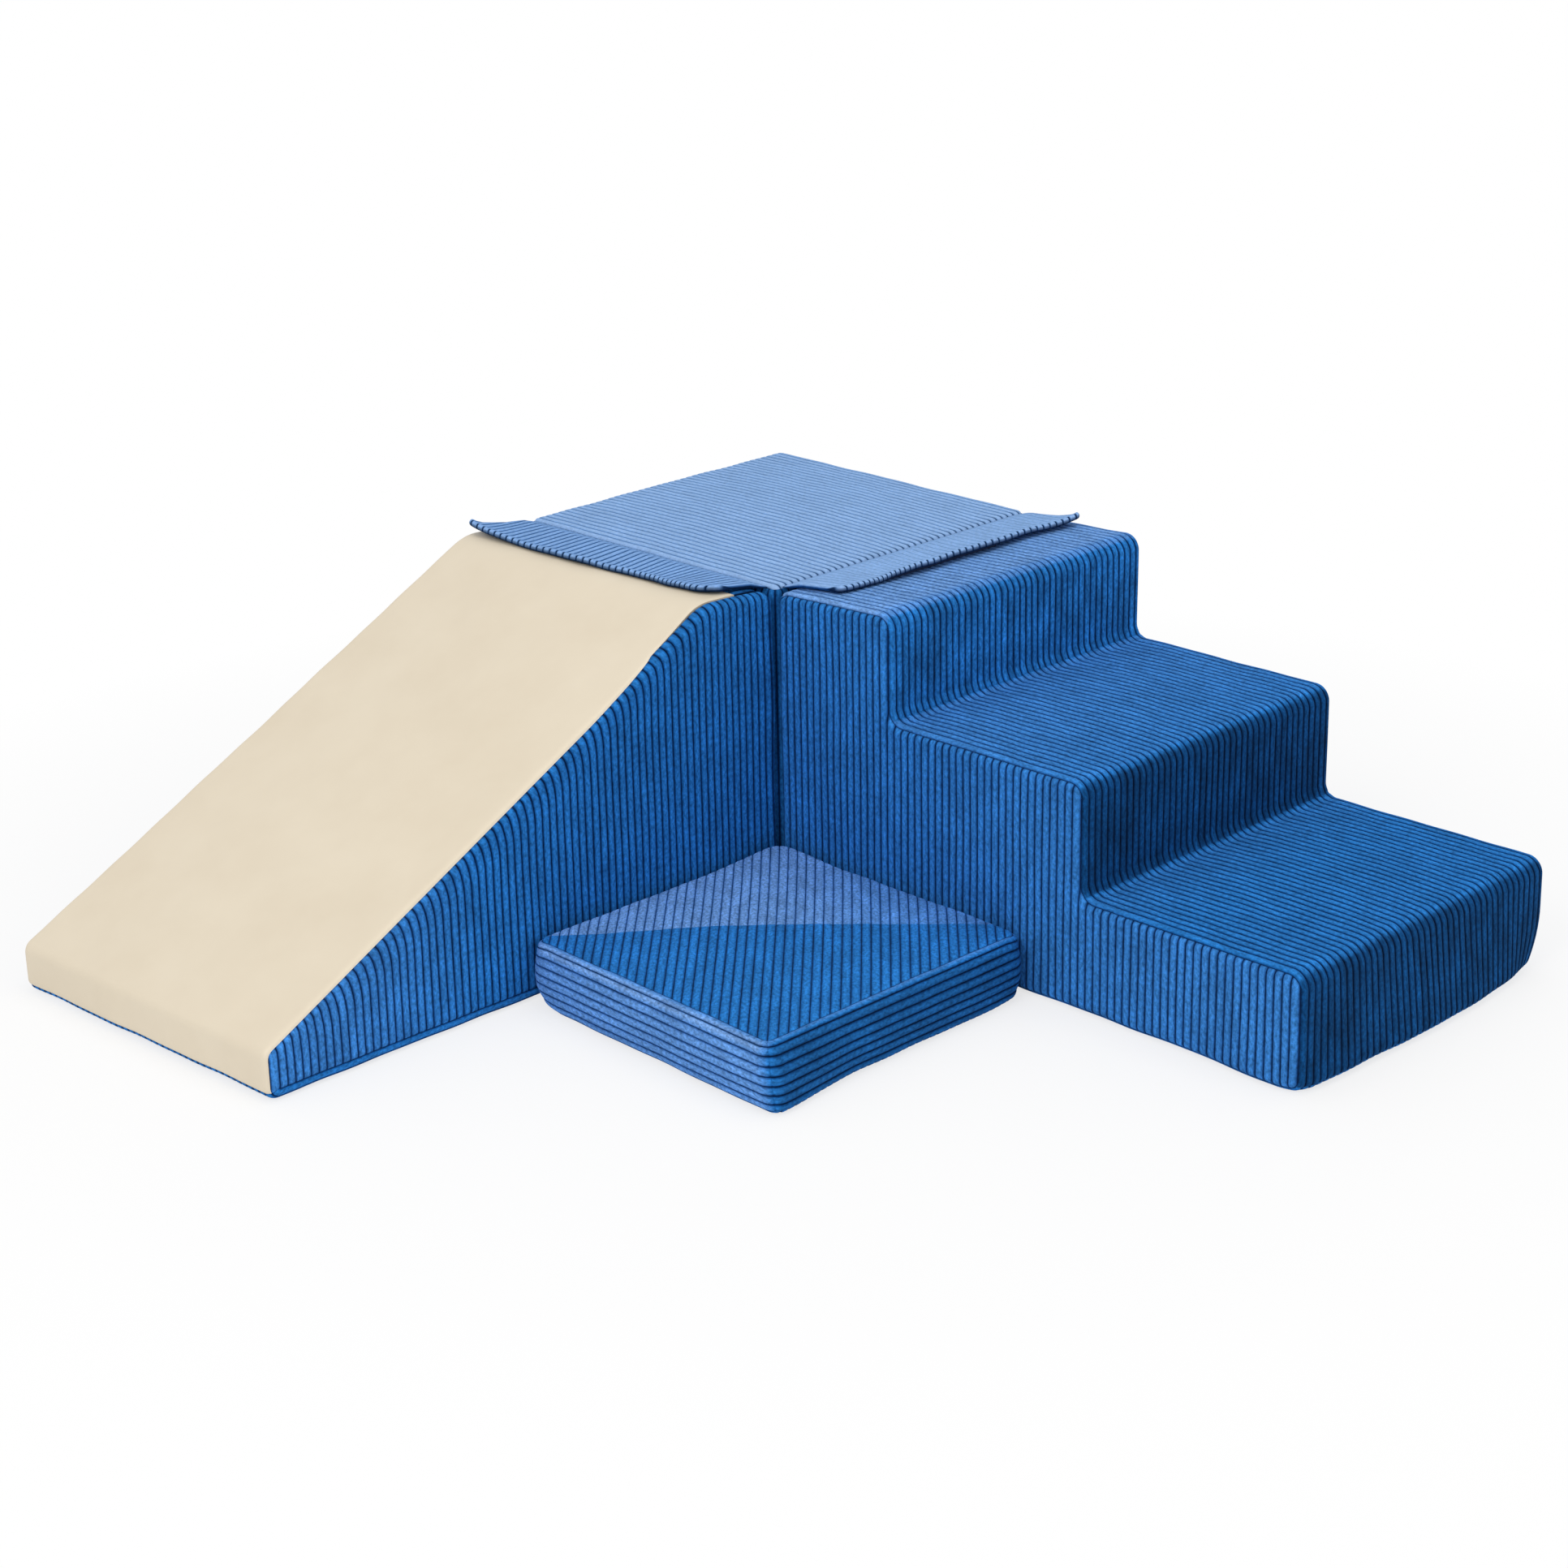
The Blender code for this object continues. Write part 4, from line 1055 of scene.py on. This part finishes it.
def corduroy():
    """Cotton pile with blotches and flecks; its tone is painted sheen and shade, darkest in the grooves."""
    look, tree, shader = nodes_of("blue_corduroy_pile")
    cloth, (_, _, pile) = attribute(tree, "cloth")
    _, (tone, blotch, crease_shade) = attribute(tree, "nap")
    ramps = [ramp(tree, pile, tuple(zip(PILE_STOPS, colours))) for colours in PILE_COLOURS]
    colour = mix(tree, arithmetic(tree, "ADD", tone, 1, clamp=True), ramps[0], ramps[1])
    colour = mix(tree, arithmetic(tree, "MULTIPLY", tone, 2, clamp=True), colour, ramps[2])
    colour = mix(tree, arithmetic(tree, "MULTIPLY_ADD", tone, 2, -1, clamp=True), colour, ramps[3])
    # Painted shade where the cloth folds, along seams and in corners, mixed toward a near black
    colour = mix(tree, arithmetic(tree, "ADD", crease_shade, 0, clamp=True), colour, CREASE_SHADE_COLOUR)
    for scale, detail, strength in (
        (BLOTCH_SCALE, 4, BLOTCH),
        (FLECK_SCALE, 2, FLECK),
        (PATCH_SCALE, 2, PATCH),
    ):
        grain = arithmetic(tree, "SUBTRACT", noise(tree, scaled(tree, cloth, scale), 1, detail, 0.6), 0.5)
        share = arithmetic(tree, "MINIMUM", blotch, 1) if scale == FLECK_SCALE else blotch
        light = arithmetic(tree, "MULTIPLY_ADD", arithmetic(tree, "MULTIPLY", grain, share), strength, 1.0)
        colour = mix(tree, 1.0, colour, light, "MULTIPLY")
    tree.links.new(colour, shader.inputs["Base Color"])
    set_inputs(shader, Roughness=0.95, Specular_IOR_Level=0.06, Sheen_Weight=0.10, Sheen_Roughness=0.5,
               Sheen_Tint=(0.12, 0.45, 1.0, 1))
    fibres = noise(tree, scaled(tree, cloth, FIBRE_SCALE), 1, 3, 0.7)
    bump(tree, shader, fibres, Strength=0.6, Distance=0.0008)
    return look


def plain(name, dark, pale, scale, roughness, metallic=0, depth=0.0003, strength=0.4, fine=None):
    """A material of two close colours mixed by noise, with a bump of the same grain or of a finer one."""
    look, tree, shader = nodes_of(name)
    spot = tree.nodes.new("ShaderNodeTexCoord").outputs["Object"]
    grain = noise(tree, spot, scale, 3, 0.6)
    tree.links.new(ramp(tree, grain, ((0.3, dark), (0.7, pale))), shader.inputs["Base Color"])
    set_inputs(shader, Roughness=roughness, Metallic=metallic)
    bump(tree, shader, noise(tree, spot, fine, 2, 0.6) if fine else grain, Strength=strength, Distance=depth)
    return look


# Pile colours from groove to crest, one row for each nap tone from darkest to palest: the grooves carry
# painted shade, the crests a painted highlight, and the rows painted sheen and shade
PILE_STOPS = (0, 0.64, 0.87, 0.97, 1)
PILE_COLOURS = (
    ((0.0003, 0.003, 0.014), (0.0005, 0.010, 0.045), (0.0012, 0.024, 0.088), (0.0030, 0.043, 0.145),
     (0.0036, 0.052, 0.172)),
    ((0.0004, 0.006, 0.030), (0.0016, 0.026, 0.108), (0.0075, 0.088, 0.305), (0.0160, 0.158, 0.480),
     (0.0220, 0.185, 0.540)),
    ((0.0020, 0.018, 0.075), (0.0160, 0.072, 0.240), (0.0620, 0.185, 0.500), (0.0900, 0.255, 0.620),
     (0.1000, 0.275, 0.650)),
    ((0.0080, 0.040, 0.140), (0.0550, 0.150, 0.370), (0.1850, 0.345, 0.635), (0.2750, 0.445, 0.745),
     (0.2950, 0.465, 0.765)),
)
BLOTCH_SCALE = (60, 26, 1)
BLOTCH = 1.0
PATCH_SCALE = (19, 11, 1)
PATCH = 0.6
FLECK_SCALE = (340, 190, 1)
FLECK = 2.0
FIBRE_SCALE = (1000, 600, 1)
# The near black of the painted shade in folds and seams
CREASE_SHADE_COLOUR = (0.0012, 0.010, 0.045)
CLOTH = corduroy()
SHEET = plain("beige_coated_fabric", (0.715, 0.622, 0.478), (0.750, 0.660, 0.515), 9, 0.5,
              strength=0.12, fine=900)
looks = {
    "foam": plain("white_foam_beads", (0.80, 0.79, 0.74), (0.88, 0.87, 0.83), 260, 0.85),
    "tape": plain("navy_loop_pile", (0.006, 0.016, 0.055), (0.016, 0.040, 0.12), 1800, 0.95, depth=0.0005),
    "zip": plain("navy_zip_coil", (0.005, 0.014, 0.050), (0.012, 0.030, 0.09), 2200, 0.6),
    "metal": plain("nickel_slider", (0.55, 0.55, 0.53), (0.66, 0.66, 0.64), 500, 0.28, 1, 0.0001, 0.2),
}


def top_height(a, tilt):
    """How high the tilted top of the slide or of the steps is, at a place out from the block."""
    return NEIGHBOUR_HEIGHT + math.tan(tilt) * (a + MODULE_GAP + FLAP_SEAT)


def plan_outline(width, names, rounds):
    places = ((0, 0), (width, 0), (width, width), (0, width))
    return Profile([(name, a, b, radius) for name, (a, b), radius in zip(names, places, rounds)])


def crown_over(width, crown):
    """How far a square panel stands over its flat plane, most at its middle."""
    def rise(p):
        u = np.clip(np.abs(2 * p / width - 1) / (1 - 2 * EDGE_ROUND / width), 0, 1)
        return crown * (1 - u[..., 0] ** 2) * (1 - u[..., 1] ** 2)
    return rise


def build_block():
    names = ("slide_left", "inner", "steps_back", "back_left")
    plan = plan_outline(BLOCK_WIDTH, names, 4 * (CORNER_ROUND,))
    at = axes(CORNER - X * BLOCK_WIDTH, X, Y, Z)
    body = "corner_block"
    all_round = [(names[0], names[0], SEAM_SINK)]

    def from_corner(base):
        return np.hypot(base[..., 0] - CORNER[0], base[..., 1] - CORNER[1])

    def crease_shades(base, pile):
        """Painted shade in the grooves along the steps' flap and round the inner corner, where they are
        pulled open.
        """
        along_flap = 1 - past(CORNER[0] - base[..., 0], *BLOCK_FLAP_CREASES)
        at_corner = BLOCK_CORNER_CREASE_SHADE * (1 - past(from_corner(base), *BLOCK_CORNER_CREASES))
        return BLOCK_CREASE_SHADE * np.maximum(along_flap, at_corner) * in_groove(pile, BLOCK_CREASE_EDGE)

    def shade(base, normals, pile):
        """Painted shade: the block's cloth is darker round its inner corner, where the modules meet."""
        return BLOCK_CORNER_SHADE_TONE * (1 - past(from_corner(base), *BLOCK_CORNER_SHADE))

    face_panel("block_top_panel", plan, at, BLOCK_HEIGHT, 1, body, all_round, 0,
               crown_over(BLOCK_WIDTH, BLOCK_CROWN), BLOCK_TOP_TONE, BLOCK_BLOTCH, crease_shades, ribs=BLOCK_RIBS)
    face_panel("block_base_panel", plan, at, 0, -1, body, all_round)
    for name, first, last in zip(("slide", "steps", "back", "left"), names, names[1:] + names[:1]):
        pocket = (0, *zip_range(BLOCK_WIDTH), *ZIP_SPAN) if name == "back" else None
        strip_panel("block_side_" + name, plan, first, last, at, BLOCK_HEIGHT, body, CLOTH, "across",
                    tone=shade, pocket=pocket)
    zip_start = CORNER + np.array((-ZIP_END_MARGIN, BLOCK_WIDTH, ZIP_HEIGHT))
    zip_chain("block_zip_chain", axes(zip_start, -X, Z, Y), BLOCK_WIDTH, body)


def build_slide():
    home = CORNER + np.array((-BLOCK_WIDTH, -MODULE_GAP, 0))
    at = axes(home, -Y, Z, X)
    body = "slide_module"
    crest = np.array((SLIDE_FLAT, top_height(SLIDE_FLAT, SLIDE_TOP_TILT)))
    lip = np.array((SLIDE_LENGTH, SLIDE_LIP))
    shape = Profile((
        ("base_back", 0, 0, CORNER_ROUND),
        ("base_toe", SLIDE_LENGTH, 0, CORNER_ROUND),
        ("lip", *lip, TOE_ROUND),
        ("crest", *crest, SLIDE_CREST_ROUND),
        ("sheet_start", SHEET_START, top_height(SHEET_START, SLIDE_TOP_TILT), 0),
        ("top_back", 0, top_height(0, SLIDE_TOP_TILT), CORNER_ROUND),
    ), {"base_toe": TOE_SEAM_SHARE})
    downhill = unit(lip - crest)
    slope_normal = np.array((-downhill[1], downhill[0]))

    def bend(p, ring):
        """The wales are drawn downhill next to the slope's seam, most on its lower part."""
        depth = (lip - p) @ slope_normal
        low_part = past(p[..., 0], *SLIDE_LOW_PART)
        pull = SLIDE_PULL + SLIDE_LOW_PULL * low_part
        run = SLIDE_PULL_RUN + SLIDE_LOW_PULL_RUN * low_part
        ends = past(p[..., 0], *SLIDE_PULL_END) * past(p[..., 0], *SLIDE_PULL_START)
        shift = pull * ends * fading(depth, run) ** 2 * past(p[..., 1], *SLIDE_PULL_FLOOR)
        moved = p + shift[..., None] * downhill
        before = nearest_edge(p, ring)[0]
        after, outward = nearest_edge(moved, ring)
        held = moved + outward * (after - before)[..., None]
        on_crest = (shift > 0) & (p[..., 0] < SLIDE_CREST_END)
        return np.where(on_crest[..., None], held, moved)

    def top_seam(points):
        """The side panel wraps over the edge near the block, and meets the sheet midway down the slope."""
        near_block = 1 - past(points[:, 0], *SLIDE_WRAP_END)
        upper = past(points[:, 1], *SLIDE_WRAP_FLOOR)
        return SEAM_SINK - (SEAM_SINK + SLIDE_TOP_WRAP) * near_block * upper

    for side, level, facing, upper_seam, tone in (
        ("outer", 0, -1, SEAM_SINK, SLIDE_OUTER_TONE),
        ("inner", BLOCK_WIDTH, 1, top_seam, slide_inner_painted_light),
    ):
        seams = (("base_back", "base_toe", BASE_BAND), ("base_toe", "base_back", upper_seam))
        face_panel("slide_side_" + side, shape, at, level, facing, body, seams, math.pi / 2, tone=tone,
                   bend=bend)
    strip_panel("slide_base_panel", shape, "base_back", "base_toe", at, BLOCK_WIDTH, body, CLOTH,
                low=BASE_BAND, high=BASE_BAND)
    strip_panel("slide_back_panel", shape, "sheet_start", "base_back", at, BLOCK_WIDTH, body, CLOTH,
                high=top_seam, pocket=(1, *ZIP_SPAN, *zip_range(BLOCK_WIDTH)))
    strip_panel("slide_surface", shape, "base_toe", "sheet_start", at, BLOCK_WIDTH, body, SHEET, "none",
                high=top_seam, slot="sheet")
    zip_start = home + np.array((ZIP_END_MARGIN, 0, ZIP_HEIGHT))
    zip_chain("slide_zip_chain", axes(zip_start, X, Z, Y), BLOCK_WIDTH, body)


def slide_inner_painted_light(base, normals, pile):
    """Painted light and shade: the inner side is darker by the block and lighter towards the toe."""
    return SLIDE_INNER_TONE + SLIDE_TOE_GAIN * past(CORNER[1] - base[..., 1], *SLIDE_TOE_LIGHT)


def steps_side_painted_light(base, normals, pile):
    """Painted light: the steps' inner side is a little lighter away from the block, towards its lowest step.
    """
    return STEPS_SIDE_TONE + STEPS_SIDE_GAIN * past(base[..., 0], CORNER[0], STEPS_LENGTH)


def on_riser(normals):
    """1 where the cloth faces forward as a riser does, 0 on a tread."""
    return past(normals[..., 0], *RISER_FACING)


def steps_painted_light(base, normals, pile):
    """Painted light and shade: the up-facing treads are lighter than the risers, the lowest riser darkest."""
    riser = on_riser(normals)
    out = base[..., 0] - CORNER[0]
    low = past(out, TOP_TREAD, STEPS_LENGTH - TOP_TREAD)
    top = 1 - past(out, *TOP_TREAD_END)
    tread_tone = TREAD_TONE - TREAD_LOW_LOSS * low + TREAD_TOP_GAIN * top
    return tread_tone * (1 - riser) - riser * (RISER_LOSS + RISER_LOW_LOSS * smooth(2 * low))


def steps_blotch(normals):
    """The risers are blotchier than the treads."""
    return STEPS_BLOTCH + RISER_BLOTCH_GAIN * on_riser(normals)


def build_steps():
    home = CORNER + X * MODULE_GAP
    at = axes(home, X, Z, Y)
    body = "steps_module"
    middle_end = TOP_TREAD + MIDDLE_TREAD
    shape = Profile((
        ("base_back", 0, 0, CORNER_ROUND),
        ("base_end", STEPS_LENGTH, 0, CORNER_ROUND),
        ("nose_bottom", STEPS_LENGTH, STEP_RISE, NOSING_ROUND),
        ("corner_bottom", middle_end, STEP_RISE, INNER_CORNER_ROUND),
        ("nose_middle", middle_end, 2 * STEP_RISE, NOSING_ROUND),
        ("corner_middle", TOP_TREAD, 2 * STEP_RISE, INNER_CORNER_ROUND),
        ("nose_top", TOP_TREAD, top_height(TOP_TREAD, STEPS_TOP_TILT), NOSING_ROUND),
        ("top_back", 0, top_height(0, STEPS_TOP_TILT), CORNER_ROUND),
    ), swollen=("nose_bottom", "nose_middle"))
    stepped_panel("steps_side_inner", shape, at, 0, -1, body, steps_side_painted_light)
    stepped_panel("steps_side_outer", shape, at, BLOCK_WIDTH, 1, body)
    zip_place = (1, *ZIP_SPAN, *zip_range(BLOCK_WIDTH))
    for name, first, last, crown, pocket in (
        ("steps_base_panel", "base_back", "base_end", 0, None),
        ("steps_tread_bottom", "base_end", "corner_bottom", TREAD_CROWN, None),
        ("steps_tread_middle", "corner_bottom", "corner_middle", TREAD_CROWN, None),
        ("steps_tread_top", "corner_middle", "top_back", 0, None),
        ("steps_back_panel", "top_back", "base_back", 0, zip_place),
    ):
        tone = steps_painted_light if "tread" in name else 0
        strip_panel(name, shape, first, last, at, BLOCK_WIDTH, body, CLOTH, "along", crown, tone=tone,
                    blotch=steps_blotch, pocket=pocket)
    zip_start = home + np.array((0, ZIP_END_MARGIN, ZIP_HEIGHT))
    zip_chain("steps_zip_chain", axes(zip_start, Y, Z, -X), BLOCK_WIDTH, body)


def nap_border(u, pile):
    """Where the nap of the mat's top turns over, across its diagonal: places along the wales."""
    return NAP_BORDER + NAP_BORDER_BEND * (1 - smooth(u / NAP_BORDER_RUN)) + NAP_BORDER_FRAY * pile


def mat_top_nap_sheen(base, normals, pile):
    """The nap turns over at the diagonal, and its sheen is painted: pale behind the diagonal, dark in front
    of it.
    """
    a, b = base[..., 0] - MAT_HOME[0], base[..., 1] - MAT_HOME[1]
    u, w = (a + b) / math.sqrt(2), (a - b) / math.sqrt(2)
    back = MAT_BACK_TONE - MAT_BACK_LOSS * past(u, *MAT_BACK_END)
    return np.where(w < nap_border(u, pile), back, MAT_FRONT_GROOVE * (1 - pile) + MAT_FRONT_TONE)


def mat_band_painted_light(base, normals, pile):
    """Painted light and shade: the band's side that faces -Y is lighter, the one that faces +X darker, its
    top edge lighter.
    """
    sides = BAND_SLIDE_GAIN * smooth(-normals[..., 1]) - BAND_STEPS_LOSS * smooth(normals[..., 0])
    return sides + BAND_TOP_GAIN * smooth(normals[..., 2] / BAND_TOP_FACING)


def build_mat():
    at = axes(MAT_HOME, X, Y, Z)
    body = "mat_module"
    names = ("slide_end", "front", "steps_end", "inner")
    plan = plan_outline(MAT_WIDTH, names, MAT_CORNER_ROUNDS)

    def top_seam(points):
        """The band wraps onto the top along the two front sides."""
        forward = past(points[:, 0] - points[:, 1], *MAT_FRONT_SIDES)
        return SEAM_SINK + (MAT_TOP_SEAM - SEAM_SINK) * forward

    face_panel("mat_top_panel", plan, at, MAT_HEIGHT, 1, body, [(names[0], names[0], top_seam)], -math.pi / 4,
               crown_over(MAT_WIDTH, MAT_CROWN), mat_top_nap_sheen, border_of=nap_border, ribs=MAT_RIBS)
    face_panel("mat_base_panel", plan, at, 0, -1, body, [(names[0], names[0], SEAM_SINK)])
    strip_panel("mat_side_band", plan, "front", "front", at, MAT_HEIGHT, body, CLOTH, bulge=MAT_BULGE,
                high=top_seam, tone=mat_band_painted_light, pocket=(1, *zip_range(MAT_WIDTH), *ZIP_SPAN))
    zip_start = MAT_HOME + np.array((0, ZIP_END_MARGIN, ZIP_HEIGHT))
    zip_chain("mat_zip_chain", axes(zip_start, Y, Z, -X), MAT_WIDTH, body)


def build_flaps():
    seat = BLOCK_HEIGHT - FLAP_SEAT
    for side, seam, along, out, tilt, form in (
        ("slide", (0, FLAP_SEAT, seat), -X, -Y, SLIDE_TOP_TILT, SLIDE_FLAP),
        ("steps", (-FLAP_SEAT, 0, seat), Y, X, STEPS_TOP_TILT, STEPS_FLAP),
    ):
        start = CORNER + np.array(seam)
        piece = flap_cloth(side + "_flap", start, along, out, tilt, side + "_side_flap", **form)


def fitted_foam(name, body):
    """A foam core that follows its cover wherever that is drawn in, and stays clear of the seams' grooves."""
    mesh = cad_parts[name].data
    points = np.array([vertex.co for vertex in mesh.vertices])
    normals = np.array([vertex.normal for vertex in mesh.vertices])
    faces = [list(face.vertices) for face in mesh.polygons]
    moved = SOFTEN[body](points)
    inward = ((moved - points) * (points.mean(axis=0) - points)).sum(axis=1) > 0
    points = np.where(inward[:, None], moved, points) - FOAM_EASE * normals
    piece = add_mesh(name + "_beads", points, faces, looks["foam"], body, name)


build_block()
build_slide()
build_steps()
build_mat()
build_flaps()
for name, body in (("slide_foam_core", "slide_module"), ("steps_foam_bottom", "steps_module"),
                   ("mat_foam_core", "mat_module")):
    fitted_foam(name, body)
for name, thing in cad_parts.items():
    for word, key in (("foam", "foam"), ("strip", "tape"), ("slider", "metal")):
        if word in name:
            thing.data.materials.clear()
            thing.data.materials.append(looks[key])


def add_light(name, spot, target, size, power):
    data = bpy.data.lights.new(name, "AREA")
    data.shape = "DISK"
    data.size = size
    data.energy = power
    lamp = bpy.data.objects.new(name, data)
    bpy.context.scene.collection.objects.link(lamp)
    lamp.location = spot
    lamp.rotation_euler = (Vector(target) - Vector(spot)).to_track_quat("-Z", "Y").to_euler()


def to_viewer(tree):
    """1 for the rays by which the camera, a reflection or a clear surface sees something, else 0."""
    rays = tree.nodes.new("ShaderNodeLightPath")
    seen = arithmetic(tree, "MAXIMUM", rays.outputs["Is Camera Ray"], rays.outputs["Is Glossy Ray"])
    return arithmetic(tree, "MAXIMUM", seen, rays.outputs["Is Transmission Ray"])


def blended(tree, share, first, second, target):
    """A mix of two surfaces, by a share of the second, as a tree's output."""
    blend = tree.nodes.new("ShaderNodeMixShader")
    for socket, source in zip(blend.inputs, (share, first, second)):
        tree.links.new(source, socket)
    tree.links.new(blend.outputs[0], tree.nodes[target].inputs["Surface"])


def build_floor():
    """A white floor that keeps a faint shadow near the set, and is plain white further off."""
    look, tree, shader = nodes_of("white_floor")
    set_inputs(shader, Base_Color=(0.92, 0.92, 0.92, 1), Roughness=0.9, Specular_IOR_Level=0.1)
    far = tree.nodes.new("ShaderNodeVectorMath")
    far.operation = "LENGTH"
    tree.links.new(tree.nodes.new("ShaderNodeTexCoord").outputs["Object"], far.inputs[0])
    share = node(tree, "ShaderNodeMapRange", From_Min=0.75, From_Max=1.5, To_Min=0.72, To_Max=1.0)
    tree.links.new(far.outputs["Value"], share.inputs["Value"])
    white = node(tree, "ShaderNodeEmission", Color=WHITE, Strength=1.0)
    whiteness = arithmetic(tree, "MULTIPLY", to_viewer(tree), share.outputs[0])
    blended(tree, whiteness, shader.outputs[0], white.outputs[0], "Material Output")
    mesh = bpy.data.meshes.new("floor")
    corners = [(x * FLOOR_HALF, y * FLOOR_HALF, FLOOR_LEVEL) for x, y in ((-1, -1), (1, -1), (1, 1), (-1, 1))]
    mesh.from_pydata(corners, [], [(0, 1, 2, 3)])
    mesh.materials.append(look)
    floor = bpy.data.objects.new("floor", mesh)
    bpy.context.scene.collection.objects.link(floor)


def build_world():
    """Soft light from all round, that looks plain white to the camera."""
    world = bpy.data.worlds.new("studio")
    bpy.context.scene.world = world
    world.use_nodes = True
    tree = world.node_tree
    light = set_inputs(tree.nodes["Background"], Color=WHITE, Strength=SKY_STRENGTH)
    white = node(tree, "ShaderNodeBackground", Color=WHITE)
    blended(tree, to_viewer(tree), light.outputs[0], white.outputs[0], "World Output")


def build_camera():
    level_back = np.array((math.sin(CAMERA_AZIMUTH), -math.cos(CAMERA_AZIMUTH), 0))
    back = level_back * math.cos(CAMERA_ELEVATION) + Z * math.sin(CAMERA_ELEVATION)
    right = np.array((math.cos(CAMERA_AZIMUTH), math.sin(CAMERA_AZIMUTH), 0))
    up = np.cross(back, right)
    tilted_right = right * math.cos(CAMERA_ROLL) + up * math.sin(CAMERA_ROLL)
    tilted_up = up * math.cos(CAMERA_ROLL) - right * math.sin(CAMERA_ROLL)
    data = bpy.data.cameras.new("camera")
    data.sensor_width = SENSOR
    data.lens = FOCAL_PIXELS / PHOTO_PIXELS * SENSOR
    data.clip_end = VIEW_END
    camera = bpy.data.objects.new("camera", data)
    bpy.context.scene.collection.objects.link(camera)
    rows = np.stack((tilted_right, tilted_up, back), axis=-1)
    camera.matrix_world = Matrix.Translation(CORNER + VIEWPOINT) @ Matrix(rows).to_4x4()
    bpy.context.scene.camera = camera


build_floor()
build_world()
add_light("key", (1.0, -3.4, 2.9), (0, 0, 0.1), 2.2, 60)
add_light("top", (0.2, 0.4, 3.6), (0, 0, 0.2), 2.4, 22)
add_light("fill", (3.4, 0.2, 1.8), (0, 0, 0.2), 2.2, 18)
build_camera()
bpy.context.scene.view_settings.view_transform = "Standard"
